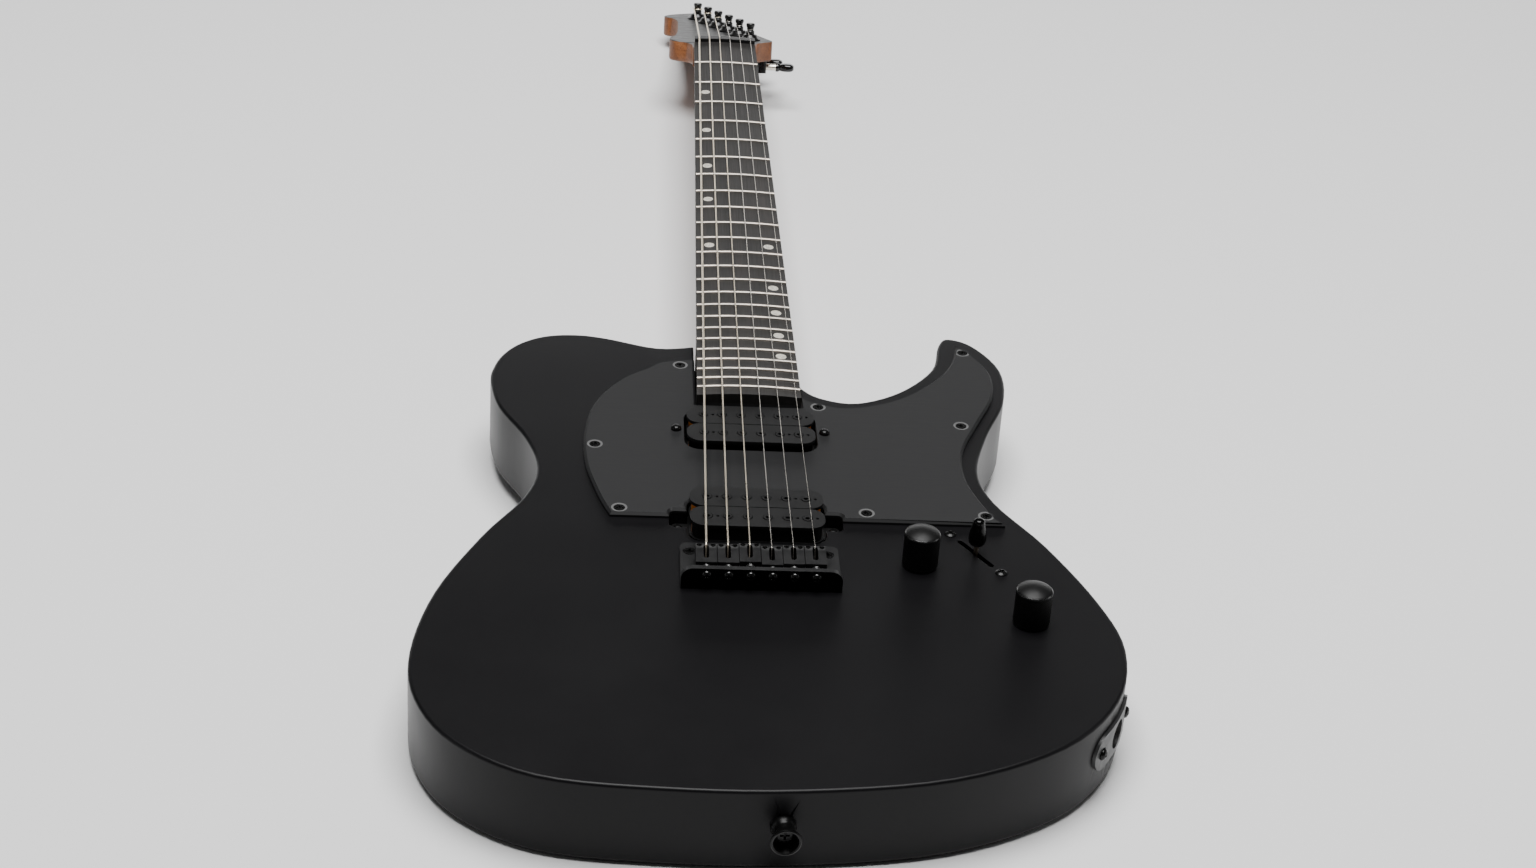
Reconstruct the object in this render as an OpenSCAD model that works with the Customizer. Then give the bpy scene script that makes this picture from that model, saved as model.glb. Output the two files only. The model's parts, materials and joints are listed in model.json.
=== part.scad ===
// Solid-body electric guitar with a bolt-on neck, a reversed six-in-line headstock,
// two humbucking pickups and a fixed string-through-body bridge.
// +X is the treble side, +Y runs up the neck, +Z faces the player's audience.
// The origin is on the body's back face, on the centre line, under the saddles.

/* [Scale and strings] */
// Sounding length of the strings, from the nut's front face to the saddle line
scale_length = 647.7; // [640:0.1:655]
// Number of frets
fret_count = 24; // [21:1:24]
// Distance between the outer strings at the nut
nut_spread = 35.5; // [34:0.1:37]
// Distance between the outer strings at the saddles
saddle_spread = 54; // [52:0.5:54]

/* [Body] */
// Thickness of the body
body_t = 44; // [42:0.5:46]
// Thickness of the pickguard
guard_t = 2.5; // [1.5:0.1:3]
// Depth of the neck pocket
pocket_depth = 16; // [14:0.5:18]

/* [Neck] */
// Width of the neck at the nut
nut_w = 42; // [41:0.1:44]
// Width of the neck at its heel
heel_w = 57; // [55:0.1:58]
// Radius of the fretboard's playing surface
board_radius = 305; // [240:5:400]
// Thickness of the fretboard at its middle
board_t = 6; // [5:0.5:7]
// Thickness of the neck's wood behind the first fret
shaft_t = 15; // [13:0.5:17]
// Angle by which the headstock leans back
head_tilt = 15; // [12:0.5:16]
// Thickness of the headstock
head_t = 14; // [13:0.5:15]

/* [Hardware] */
// Radius of the control knobs
knob_r = 9; // [8:0.1:9.5]
// Height of the control knobs
knob_h = 20.5; // [16:0.5:22]
// Distance between the strings' tuning posts along the headstock
post_step = 21.7; // [21.5:0.1:22.5]
// How far the tops of the posts stand above the headstock
post_h = 12; // [11:0.5:13]
// Length of the bridge's base plate along the strings
bridge_len = 38; // [37:0.5:39]
// Height of the bridge's rear wall
bridge_wall_h = 12; // [11.5:0.5:13]

/* [Hidden] */
$fn = 48;

gap = 0.3;                              // clearance between pieces that move past each other
fit = 0.05;                             // radial clearance of a running fit
deep = 200;                             // longer than any cut
spline_steps = 5;                       // straight pieces between two outline points

top_z = body_t;                         // face of the body
guard_z = top_z + guard_t;              // face of the pickguard
neck_z = guard_z + 1;                   // face of the neck's wood, under the fretboard
board_z = neck_z + board_t;             // playing surface on the centre line
pocket_z = top_z - pocket_depth;        // floor of the neck pocket
neck_end = 153.5;                       // heel end of the neck
pocket_end = neck_end - 0.2;            // end wall of the neck pocket
heel_end = 226;                         // where the square heel gives way to the shaft

// ---- outlines ----

// Point at parameter t on a Catmull-Rom curve from b to c, with neighbours a and d
function curve_point(a, b, c, d, t) =
    0.5 * (2 * b + (c - a) * t + (2 * a - 5 * b + 4 * c - d) * t * t
    + (3 * b - a - 3 * c + d) * t * t * t);
// Closed smooth outline through the points p
function smooth(p, n = spline_steps) = [
    for (i = [0 : len(p) - 1], k = [0 : n - 1])
        curve_point(p[(i + len(p) - 1) % len(p)], p[i], p[(i + 1) % len(p)],
            p[(i + 2) % len(p)], k / n)];
// Open smooth line through the points p
function smooth_line(p, n = spline_steps) = concat([
    for (i = [0 : len(p) - 2], k = [0 : n - 1])
        curve_point(p[max(i - 1, 0)], p[i], p[i + 1], p[min(i + 2, len(p) - 1)], k / n)],
    [p[len(p) - 1]]);
// Outline p moved outwards by d along its own normals (p runs anticlockwise)
function grow(p, d) = [
    for (i = [0 : len(p) - 1])
        let (a = p[(i + len(p) - 1) % len(p)], b = p[(i + 1) % len(p)],
            t = (b - a) / norm(b - a)) p[i] + d * [t[1], -t[0]]];

// Edge of the body, anticlockwise from the treble side of the neck pocket
body_points = [
    [29.7, 180.6], [-27.5, 223.4], [-49.4, 220.3], [-77.5, 229.7], [-94.7, 232.8], [-112, 230.3],
    [-126, 221.3], [-135.3, 208], [-140, 193], [-141, 177.5], [-135.3, 149.4], [-119.7, 116.6],
    [-112.8, 87], [-118.8, 57.2], [-138.4, 19.7], [-158.8, -32], [-167.2, -82], [-162.5, -119.4],
    [-143, -152], [-105.6, -175.6], [-49.4, -182.8], [13, -182.5], [82, -171.6], [135, -145],
    [164.7, -108.4], [174.7, -66], [167.2, -25.6], [147.5, 24.4], [125.6, 65], [120, 96.3],
    [128.8, 133.8], [142.2, 171.3], [144.4, 207], [131.9, 234.4], [117.8, 242.5], [111.6, 233.8],
    [105.3, 205.6], [85, 179], [60, 165], [39.7, 169.7]];
// Both ends of the pocket's mouth are corners, so the curve is open between them
body_edge = smooth_line([for (i = [1 : len(body_points)]) body_points[i % len(body_points)]]);

// Left and right sides of the pickguard, each between two of its corners
guard_left = [[-28.7, 204], [-47, 200], [-55.8, 191.7], [-68.3, 180.8], [-80, 161.7], [-86.7, 140],
    [-89, 112], [-87.5, 88], [-84, 71], [-79, 52.5], [-74.5, 40]];
guard_right = [[128, 40], [121.7, 50.8], [112.5, 81.7], [113.3, 111.7], [124.2, 141.7],
    [135.8, 171.7], [137.5, 198.3], [129.2, 220], [120.8, 230]];
guard_horn = [[120.8, 230], [116.7, 210], [105.8, 190], [83.3, 166.7], [56.7, 155.3],
    [38.3, 158.7], [28.7, 165.5]];
guard_edge = concat(smooth_line(guard_left), smooth_line(guard_right), smooth_line(guard_horn),
    [[28.7, pocket_end], [-28.7, pocket_end]]);
guard_screw_points = [[-36.7, 196.3], [-83, 107.8], [-69.8, 45.3], [124, 221.2], [38, 154.2],
    [115, 138.7], [57, 46.7], [118.8, 47.2]];

// Controls, in the plane of the body's face
volume_at = [80.7, 3.3];
tone_at = [130.9, -45.2];
switch_at = [110.2, 15.2];
switch_turn = -57.4;
switch_screw_x = 20.6;                  // from the switch's middle to each of its screws
cavity_points = [[66, 12], [70, -18], [108, -60], [138, -66], [152, -46], [142, -10], [124, 24],
    [104, 40], [84, 26]];
cavity_edge = smooth(cavity_points);
cover_edge = grow(cavity_edge, 7);
cover_t = 2;
cover_screw_points = let (p = grow(cavity_edge, 3.5)) [for (k = [2 : 7.5 : 42]) p[floor(k)]];
shelf_t = 6;                            // wood left over the control cavity
shelf_z = top_z - shelf_t;

// A rectangle w by l with corners of radius r, centred
module rounded(w, l, r) {
    square([w - 2 * r, l], center = true);
    square([w, l - 2 * r], center = true);
    for (x = [-1, 1], y = [-1, 1]) translate([x * (w / 2 - r), y * (l / 2 - r)]) circle(r);
}
// A round slot l long and w wide, along X
module slot(l, w) {
    square([l - w, w], center = true);
    for (x = [-1, 1]) translate([x * (l - w) / 2, 0]) circle(w / 2);
}
// A countersunk screw standing on its point: face at z = 0, shank r, head head_r, length l
module countersunk(head_r, r, l) {
    difference() {
        union() {
            translate([0, 0, -head_r + r]) cylinder(head_r - r, r, head_r);
            translate([0, 0, -l]) cylinder(l - head_r + r, r, r);
        }
        cross_recess(head_r * 0.62, 1.2);
    }
}
// A cross-head recess, cut down from z = 0
module cross_recess(r, d) {
    for (a = [0, 90]) rotate(a) translate([0, 0, -d / 2 + 0.01])
        cube([2 * r, 0.32 * r + 0.4, d], center = true);
}

// ---- strings and frets ----

string_r = [0.58, 0.46, 0.33, 0.22, 0.17, 0.13];
function at_nut(i) = nut_spread * (i / 5 - 0.5);
function at_saddle(i) = saddle_spread * (i / 5 - 0.5);
function fret_y(n) = scale_length * pow(2, -n / 12);
// Half the neck's width at y
function half_w(y) = (nut_w + (heel_w - nut_w) * (scale_length - y) / (scale_length - neck_end)) / 2;
nut_string_z = board_z + 1.7;
crown_z = board_z + 3.6;                // underside of the strings at the saddles
crown_y = [-3.6, -3.5, -2.3, -4.4, -3.3, -3];
hole_y = -10;                           // line of the string holes through the body

// ---- headstock ----

head_y = scale_length + 5;              // start of the headstock's face
head_z = neck_z - 1;
// Places its children in the headstock's own frame: X across, Y along the face, Z out of it
module on_head() { translate([0, head_y, head_z]) rotate([-head_tilt, 0, 0]) children(); }
post_last = 161.4;                      // from the nut to the farthest post
function post_x(i) = -13.74 + 6.89 * i;
function post_s(i) = post_last - post_step * i;
post_r = 3;
waist_r = 2.4;
waist_z = post_h - 4.2;
bushing_r = 4.6;
housing_t = 9;
worm_z = -head_t - housing_t / 2 - 0.4;
tab_x = 6.5;                            // from a post to its housing's screw
tab_y = 8.9;
button_x = 26;                          // from the post to the middle of its button
head_outline = concat([[-21.3, 0]],
    smooth_line([[-21.6, 14], [-24.5, 22], [-30, 27], [-35, 31], [-37.2, 37], [-36.4, 50],
        [-32.6, 62], [-30.5, 85], [-29.2, 125], [-29.4, 148], [-32.4, 160], [-37, 164],
        [-38.6, 170], [-36, 178], [-29, 187], [-18, 195]], 3),
    [[-12, 195.5], [-9, 192], [36.4, 52]],
    smooth_line([[36.6, 48.5], [35.4, 45.6], [30, 40.5], [25, 34], [22.6, 24], [21.6, 8]], 3),
    [[21.3, 0]]);

// ---- pickups ----

neck_pickup_y = 125.8;
bridge_pickup_y = 38.7;
neck_pickup_z = guard_z + 4.2;          // tops of the neck bobbins
bridge_pickup_z = guard_z + 6.5;        // tops of the bridge bobbins
coil_w = 68.5;
coil_l = 18;
coil_gap = 0.6;
bobbin_h = 10.5;
function coil_y(side) = side * (coil_l + coil_gap) / 2;
pole_r = 2.3;
pole_pitch = 10.1;                      // spacing of the poles
function pole_x(k) = (k - 2.5) * pole_pitch;
pin_x = [-20.2, 20.2, 30.3];            // small holes beside the poles
ear_x = 39.8;
// Repeats its children at the neck pickup and at the bridge pickup; z = 0 is the bobbins' top
module at_pickups() {
    translate([0, neck_pickup_y, neck_pickup_z]) children();
    translate([0, bridge_pickup_y, bridge_pickup_z]) children();
}

// ---- bridge ----

bridge_x0 = -39.4;
bridge_w = 79.4;
bridge_front = 14;
bridge_rear = bridge_front - bridge_len;
plate_t = 2.5;
plate_z = top_z + plate_t;
wall_t = 3;
saddle_w = 10.5;
saddle_l = 15.7;
saddle_lip = 2;                         // from a saddle's front to its crown
set_x = 3.4;                            // from a saddle's middle to each height screw
set_y = 2.1;                            // from a saddle's front to its height screws
set_r = 1.2;
screw_z = top_z + bridge_wall_h - 3.6;  // height of the intonation screws

// ---- wood and covers ----

module body() {
    color("#1b1b1d") difference() {
        linear_extrude(body_t) polygon(body_edge);
        // neck pocket
        translate([0, pocket_end + deep / 2, pocket_z + deep / 2])
            cube([heel_w + 0.4, deep, deep], center = true);
        // pickup cavities
        translate([0, neck_pickup_y, 20]) linear_extrude(deep) {
            rounded(74, 44, 8);
            square([92, 12], center = true);
        }
        translate([0, bridge_pickup_y, 20]) linear_extrude(deep) {
            rounded(71, 38, 8);
            rounded(88.8, 13.2, 3);
        }
        for (x = [-1, 1]) translate([x * ear_x, bridge_pickup_y, 12]) cylinder(10, 1.2, 1.2);
        // control cavity, its cover's recess and the controls' holes
        translate([0, 0, cover_t]) linear_extrude(shelf_z - cover_t) polygon(cavity_edge);
        translate([0, 0, -1]) linear_extrude(cover_t + 1) polygon(cover_edge);
        for (p = [volume_at, tone_at]) translate([p[0], p[1], shelf_z - 1]) cylinder(deep, 4.8, 4.8);
        translate([switch_at[0], switch_at[1], shelf_z - 1]) rotate(switch_turn) {
            linear_extrude(deep) slot(28, 2.6);
            for (x = [-1, 1]) translate([x * switch_screw_x, 0, 0]) cylinder(deep, 1.6, 1.6);
        }
        // wiring channels: neck pickup to bridge pickup to controls
        translate([0, 56, 25]) rotate([-90, 0, 0]) cylinder(50, 4, 4);
        translate([40, 36, 25]) rotate([0, 90, -22]) cylinder(50, 4, 4);
        // output jack
        on_jack() translate([0, 0, -46]) cylinder(60, 9.5, 9.5);
        // string holes with a seat for each ferrule at the back
        for (i = [0 : 5]) translate([at_saddle(i), hole_y, 0]) {
            translate([0, 0, -1]) cylinder(deep, 1.6, 1.6);
            translate([0, 0, -1]) cylinder(11, 3.9, 3.9);
        }
        // screw holes
        for (p = bridge_screw_points) translate([p[0], p[1], top_z - 20]) cylinder(21, 1.2, 1.2);
        for (p = guard_screw_points) translate([p[0], p[1], top_z - 10]) cylinder(11, 1, 1);
        for (p = cover_screw_points) translate([p[0], p[1], -1]) cylinder(12, 1, 1);
        for (p = neck_bolt_points) translate([p[0], p[1], -1]) {
            cylinder(deep, 2.7, 2.7);
            cylinder(7, 7.5, 7.5);
        }
        on_strap_buttons() translate([0, 0, -24]) cylinder(30, 1.6, 1.6);
        for (y = [-1, 1]) on_jack() translate([0, y * jack_screw_y, -14]) cylinder(20, 1, 1);
    }
}

module control_cover() {
    color("#161617") difference() {
        linear_extrude(cover_t) polygon(grow(cavity_edge, 6.8));
        for (p = cover_screw_points) translate([p[0], p[1], 0]) {
            translate([0, 0, -1]) cylinder(cover_t + 2, 1.3, 1.3);
            translate([0, 0, -0.01]) cylinder(2, 3.1, 1.1);
        }
    }
}

module cover_screws() {
    color("#101010") {
        for (p = guard_screw_points) translate([p[0], p[1], guard_z]) countersunk(2.9, 1, 11);
        for (p = cover_screw_points) translate([p[0], p[1], 0]) mirror([0, 0, 1]) countersunk(2.9, 1, 11);
    }
}

module pickguard() {
    color("#242427") translate([0, 0, top_z]) difference() {
        linear_extrude(guard_t) difference() {
            polygon(guard_edge);
            translate([0, neck_pickup_y]) rounded(71, 40.5, 9);
            translate([0, bridge_pickup_y]) rounded(71, 38.6, 9);
            translate([0, bridge_pickup_y]) rounded(88.8, 13.2, 3);
        }
        for (p = guard_screw_points) translate([p[0], p[1], 0]) {
            translate([0, 0, -1]) cylinder(guard_t + 2, 1.2, 1.2);
            translate([0, 0, guard_t - 1.95]) cylinder(2, 1.05, 3.05);
        }
        for (x = [-1, 1]) translate([x * ear_x, neck_pickup_y, -1]) cylinder(guard_t + 2, 1.6, 1.6);
    }
}

// Cross-section of the neck at y, hanging from the fretboard's plane by t.
// box is 0 for the shaft's half oval and 1 for the heel's rectangle.
function neck_section(y, t, box) =
    [for (k = [0 : 16]) let (a = 180 * k / 16, c = cos(a))
        [-half_w(y) * sign(c) * pow(abs(c), 1 - 0.88 * box), y,
            neck_z - t * pow(sin(a), 0.75 - 0.63 * box)]];
function shaft_depth(y) = shaft_t + 2.5 * (scale_length - y) / scale_length;
heel_depth = neck_z - pocket_z;
// Solid through a list of cross-sections with the same number of points
module loft(sections) {
    n = len(sections[0]);
    last = len(sections) - 1;
    polyhedron(
        [for (s = sections) each s],
        concat(
            [[for (k = [n - 1 : -1 : 0]) k]],
            [for (j = [0 : last - 1], k = [0 : n - 1])
                [j * n + k, j * n + (k + 1) % n, (j + 1) * n + (k + 1) % n, (j + 1) * n + k]],
            [[for (k = [0 : n - 1]) last * n + k]]));
}

rod_r = 2.9;                            // truss rod
rod_z = neck_z - 4.6;
neck_bolt_points = [[-18, 169], [18, 167], [-18, 206], [7, 190]];

module neck() {
    color("#9a5a35") difference() {
        union() {
            loft(concat(
                [for (y = [neck_end, heel_end]) neck_section(y, heel_depth, 1)],
                [neck_section(heel_end + 8, heel_depth - 0.8, 0.6),
                    neck_section(heel_end + 18, heel_depth - 1.6, 0.2)],
                [for (y = [heel_end + 34, 350, 450, 550, head_y + 1.5])
                    neck_section(y, shaft_depth(y), 0)]));
            on_head() translate([0, 0, -head_t]) linear_extrude(head_t) polygon(head_outline);
        }
        // channel of the truss rod, and its access pocket behind the nut
        translate([-3.2, 170, rod_z - 4]) cube([6.4, scale_length - 169, 20]);
        translate([0, scale_length, rod_z]) rotate([-90, 0, 0]) cylinder(18, rod_r + 0.2, rod_r + 0.2);
        on_head() translate([0, 6, -5]) linear_extrude(20) slot_along(22, 8);
        for (p = neck_bolt_points) translate([p[0], p[1], 0]) cylinder(neck_z - 6, 2.1, 2.1);
        for (i = [0 : 5]) on_head() translate([post_x(i), post_s(i), -head_t - 1])
            cylinder(head_t + 2, bushing_r, bushing_r);
        for (i = [0 : 5]) on_head() translate([post_x(i) + tab_x, post_s(i) + tab_y, -head_t - 1])
            cylinder(9, 0.9, 0.9);
    }
}
// A round slot of length l and width w, starting at the origin and running along +Y
module slot_along(l, w) { translate([0, l / 2]) rotate(90) slot(l, w); }

// Half-space under the fretboard's playing surface, raised by h
module under_board(h = 0) {
    translate([0, neck_end - 10, board_z - board_radius]) rotate([-90, 0, 0])
        cylinder(scale_length - neck_end + 20, board_radius + h, board_radius + h, $fn = 180);
}

module fretboard() {
    color("#26221f") difference() {
        intersection() {
            translate([0, 0, neck_z]) linear_extrude(board_t) polygon([
                [-half_w(neck_end), neck_end], [half_w(neck_end), neck_end],
                [half_w(scale_length), scale_length], [-half_w(scale_length), scale_length]]);
            under_board();
        }
        for (n = [1 : fret_count]) translate([0, fret_y(n), board_z]) cube([80, 0.6, 6.4], center = true);
        dots(dot_deep + 3);
    }
}

fret_crown = 1.1;
fret_w = 2.4;
tang = 1.8;
module frets() {
    color("#c9c2b4") for (n = [1 : fret_count]) {
        half = asin((half_w(fret_y(n)) - 0.2) / board_radius);
        translate([0, fret_y(n), board_z - board_radius]) rotate([90, 0, 0])
            rotate(90 - half) rotate_extrude(angle = 2 * half, $fn = 720) translate([board_radius, 0])
            polygon([[-tang, -0.25], [0, -0.25], [0, -fret_w / 2], [0.5, -fret_w / 2 + 0.15],
                [0.95, -0.55], [fret_crown, 0], [0.95, 0.55], [0.5, fret_w / 2 - 0.15],
                [0, fret_w / 2], [0, 0.25], [-tang, 0.25]]);
    }
}

module nut() {
    color("#141414") difference() {
        intersection() {
            translate([-nut_w / 2 + 0.1, scale_length, neck_z]) cube([nut_w - 0.2, 5, 20]);
            translate([0, scale_length - 5, board_z - board_radius]) rotate([-90, 0, 0])
                cylinder(20, board_radius + 2.4, board_radius + 2.4, $fn = 180);
        }
        for (i = [0 : 5]) translate([at_nut(i), scale_length - 1, nut_string_z]) {
            rotate([-90, 0, 0]) cylinder(8, string_r[i] + 0.1, string_r[i] + 0.1, $fn = 16);
            translate([-string_r[i] - 0.1, 0, 0]) cube([2 * string_r[i] + 0.2, 8, 6]);
        }
    }
}

// Middle of the space before fret n
function dot_y(n) = (fret_y(n) + fret_y(n - 1)) / 2;
// Middle between the two outer strings at y
function dot_x(y) = (at_nut(5) + at_nut(4)) / 2
    + (at_saddle(5) + at_saddle(4) - at_nut(5) - at_nut(4)) / 2 * (1 - y / scale_length);
dot_r = 3;
dot_deep = 1.5;
// A disc of height h set square into the playing surface at x, y
module dot(x, y, h) {
    translate([0, y, board_z - board_radius]) rotate([0, asin(x / board_radius), 0])
        translate([0, 0, board_radius - dot_deep]) cylinder(h, dot_r, dot_r, $fn = 32);
}
module dots(h) {
    for (n = [3, 5, 7, 9, 12]) dot(-dot_x(dot_y(n)), dot_y(n), h);
    for (n = [12, 15, 17, 19, 21]) dot(dot_x(dot_y(n)), dot_y(n), h);
    for (n = [3, 5, 7, 9, 12, 15, 17, 19, 21, 24])
        translate([-half_w(dot_y(n)) - 0.05, dot_y(n), board_z - 3.4]) rotate([0, 90, 0])
        cylinder(1.5, 1, 1, $fn = 24);
}
module inlay_dots() { color("#d8d2c4") dots(dot_deep); }

module truss_rod() {
    color("#8a8c90") translate([0, 172, rod_z]) rotate([-90, 0, 0]) difference() {
        cylinder(scale_length - 161.5, rod_r, rod_r);
        translate([0, 0, scale_length - 166]) cylinder(8, 1.8, 1.8, $fn = 6);
    }
}

module neck_bolts() {
    color("#17181a") for (p = neck_bolt_points) translate([p[0], p[1], 3]) mirror([0, 0, 1]) difference() {
        union() {
            cylinder(2.4, 4.4, 3.6);
            translate([0, 0, -neck_z + 12]) cylinder(neck_z - 12, 2, 2);
        }
        translate([0, 0, 2.4]) cross_recess(2.6, 1.6);
    }
}

module neck_ferrules() {
    color("#1c1d1f") for (p = neck_bolt_points) translate([p[0], p[1], 0]) difference() {
        cylinder(6, 7.4, 7.4);
        translate([0, 0, -1]) cylinder(8, 2.5, 2.5);
        translate([0, 0, -1]) cylinder(4, 4.8, 4.8);
    }
}

// ---- bridge ----

bridge_screw_points = [[-34.5, 6], [34.5, 6], [-34.5, -15], [34.5, -15]];

module bridge_plate() {
    mid = bridge_x0 + bridge_w / 2;
    color("#2c2c2e") difference() {
        union() {
            translate([mid, bridge_front - bridge_len / 2, top_z]) linear_extrude(plate_t)
                rounded(bridge_w, bridge_len, 4);
            translate([mid, bridge_rear + wall_t, top_z]) rotate([90, 0, 0]) linear_extrude(wall_t)
                intersection() {
                    translate([0, bridge_wall_h - 10]) rounded(bridge_w, 20, 6);
                    translate([-100, 0]) square([200, 100]);
                }
            // the plate runs square into the wall
            translate([mid, bridge_rear + 4, top_z + plate_t / 2])
                cube([bridge_w, 8, plate_t], center = true);
        }
        for (i = [0 : 5]) translate([at_saddle(i), 0, 0]) {
            translate([0, hole_y, top_z - 1]) cylinder(plate_t + 2, 1.6, 1.6);
            translate([0, bridge_rear - 1, screw_z]) rotate([-90, 0, 0]) cylinder(wall_t + 2, 1.7, 1.7);
        }
        for (p = bridge_screw_points) translate([p[0], p[1], top_z]) {
            translate([0, 0, -1]) cylinder(plate_t + 2, 1.7, 1.7);
            translate([0, 0, plate_t - 1.9]) cylinder(2, 1.5, 3.5);
        }
    }
}

module bridge_screws() {
    color("#141415") for (p = bridge_screw_points)
        translate([p[0], p[1], plate_z]) countersunk(3.3, 1.2, 20);
}

// Saddle i: a block with a string slot, two height screws and a bore for its intonation screw
module saddle(i) {
    front = crown_y[i] + saddle_lip;
    z0 = plate_z + 1.4;
    top = crown_z - gap;
    color("#333335") translate([at_saddle(i), 0, 0]) {
        difference() {
            translate([0, front, 0]) rotate([90, 0, -90]) translate([0, 0, -saddle_w / 2])
                linear_extrude(saddle_w) polygon([[0, z0], [0, top - 1.6], [0.5, top - 0.5],
                    [saddle_lip - 0.6, top], [saddle_lip + 0.4, top - 0.02], [5, top - 0.7],
                    [saddle_l, top - 1.2], [saddle_l, z0]]);
            translate([0, front - 7.2, z0 - 1]) linear_extrude(20) rotate(90) slot(10, 2.7);
            for (x = [-1, 1]) translate([x * set_x, front - set_y, z0 - 1])
                cylinder(20, set_r + fit, set_r + fit);
            translate([0, front - saddle_l - 1, screw_z]) rotate([-90, 0, 0]) cylinder(6, 1.7, 1.7);
            // groove that the string lies in, from the slot over the crown
            translate([0, front - 3, crown_z + string_r[i]]) rotate([-90, 0, 0])
                cylinder(6, string_r[i] + gap, string_r[i] + gap, $fn = 16);
        }
        for (x = [-1, 1]) translate([x * set_x, front - set_y, plate_z + gap]) difference() {
            cylinder(top - plate_z - 1.2, set_r, set_r);
            translate([0, 0, top - plate_z - 3]) cylinder(5, 0.75, 0.75, $fn = 6);
        }
    }
}

module intonation_screws() {
    color("#3a3a3c") for (i = [0 : 5]) translate([at_saddle(i), bridge_rear, screw_z]) rotate([-90, 0, 0])
        difference() {
            union() {
                translate([0, 0, -2]) rotate_extrude()
                    polygon([[0, 0], [1.4, 0.25], [2.3, 1], [2.6, 2], [0, 2]]);
                cylinder(crown_y[i] - bridge_rear - 9.5, 1.35, 1.35);
            }
            translate([0, 0, -2]) mirror([0, 0, 1]) cross_recess(1.4, 1.2);
        }
}

module intonation_springs() {
    color("#8d8d90") for (i = [0 : 5]) translate([at_saddle(i), bridge_rear + wall_t, screw_z])
        rotate([-90, 0, 0]) difference() {
            cylinder(crown_y[i] + saddle_lip - saddle_l - bridge_rear - wall_t - gap, 2.5, 2.5);
            translate([0, 0, -1]) cylinder(20, 1.9, 1.9);
        }
}

module string_ferrules() {
    color("#202022") for (i = [0 : 5]) translate([at_saddle(i), hole_y, 0]) difference() {
        cylinder(10, 3.8, 3.8);
        translate([0, 0, -1]) cylinder(12, 1.1, 1.1);
        translate([0, 0, -1]) cylinder(7, 2.4, 2.4);
    }
}

// Direction u made square to the unit vector d
function square_to(u, d) = let (w = u - (u * d) * d) w / norm(w);
// One side direction for each of the directions dirs, carried along without twist
function side_dirs(dirs, i = 0, u = [1, 0, 0]) =
    i == len(dirs) ? [] : let (v = square_to(u, dirs[i])) concat([v], side_dirs(dirs, i + 1, v));
// A round wire of radius r along the points p
module wire(p, r, sides = 8) {
    last = len(p) - 1;
    dirs = [for (i = [0 : last]) let (d = p[min(i + 1, last)] - p[max(i - 1, 0)]) d / norm(d)];
    us = side_dirs(dirs);
    loft([for (i = [0 : last]) let (u = us[i], v = cross(dirs[i], u))
        [for (k = [0 : sides - 1]) p[i] + r * (cos(360 * k / sides) * u - sin(360 * k / sides) * v)]]);
}
// Point given in the headstock's frame, in the part's frame
function from_head(x, s, h) = [x, head_y + s * cos(head_tilt) + h * sin(head_tilt),
    head_z - s * sin(head_tilt) + h * cos(head_tilt)];
// String i: ball end, body, crown, nut, and most of a turn round its post
module string(i) {
    r = string_r[i];
    x = at_saddle(i);
    turn_r = waist_r + gap + r;
    translate([x - 1.4, hole_y, 4]) rotate([0, 90, 0]) cylinder(2.8, 1.9, 1.9);
    wire(concat(
        [[x, hole_y, 5], [x, hole_y, plate_z], [x, hole_y + 0.6, plate_z + 1.2],
            [x, crown_y[i] - 1.2, crown_z + r - 1.1], [x, crown_y[i] - 0.4, crown_z + r - 0.2],
            [x, crown_y[i] + 0.4, crown_z + r],
            [at_nut(i), scale_length, nut_string_z], [at_nut(i), scale_length + 4.6, nut_string_z - 0.05]],
        [for (a = [180 : -20 : -120]) from_head(post_x(i) + turn_r * cos(a),
            post_s(i) + turn_r * sin(a), waist_z + 0.002 * (180 - a))]), r);
}
module wound_strings() { color("#b9a98c") for (i = [0 : 2]) string(i); }
module plain_strings() { color("#c8c8c8") for (i = [3 : 5]) string(i); }

// ---- tuners ----

module at_posts() { for (i = [0 : 5]) on_head() translate([post_x(i), post_s(i), 0]) children(); }

module tuner_housings() {
    color("#18181a") at_posts() translate([0, 0, -head_t - housing_t]) difference() {
        union() {
            linear_extrude(housing_t) rounded(15, 13.5, 3);
            translate([5.5, 0, 0]) linear_extrude(housing_t) rounded(14, 9.4, 2);
            translate([tab_x, tab_y - 2, housing_t - 2]) linear_extrude(2) rounded(6.4, 9, 2.5);
        }
        translate([0, 0, 1.6]) cylinder(20, post_r + 1.6, post_r + 1.6);
        translate([-5, 0, housing_t / 2 - 0.4]) rotate([0, 90, 0]) cylinder(30, 2.35, 2.35);
        translate([tab_x, tab_y, housing_t - 5]) cylinder(10, 1.1, 1.1);
    }
}
module tuner_bushings() {
    color("#1d1d1f") at_posts() difference() {
        union() {
            rotate_extrude() polygon([[post_r + fit, 0], [7.4, 0], [7.4, 0.9], [5.6, 2.2], [4.6, 4],
                [post_r + fit, 4]]);
            translate([0, 0, -head_t + 1]) cylinder(head_t, bushing_r - 0.1, bushing_r - 0.1);
        }
        translate([0, 0, -head_t - 1]) cylinder(30, post_r + fit, post_r + fit);
    }
}
module tuner_screws() {
    color("#202022") at_posts() translate([tab_x, tab_y, -head_t - 2]) mirror([0, 0, 1]) difference() {
        union() {
            cylinder(1.4, 1.9, 1.5);
            translate([0, 0, -9]) cylinder(9, 0.85, 0.85);
        }
        translate([0, 0, 1.4]) cross_recess(1.1, 0.8);
    }
}
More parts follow.
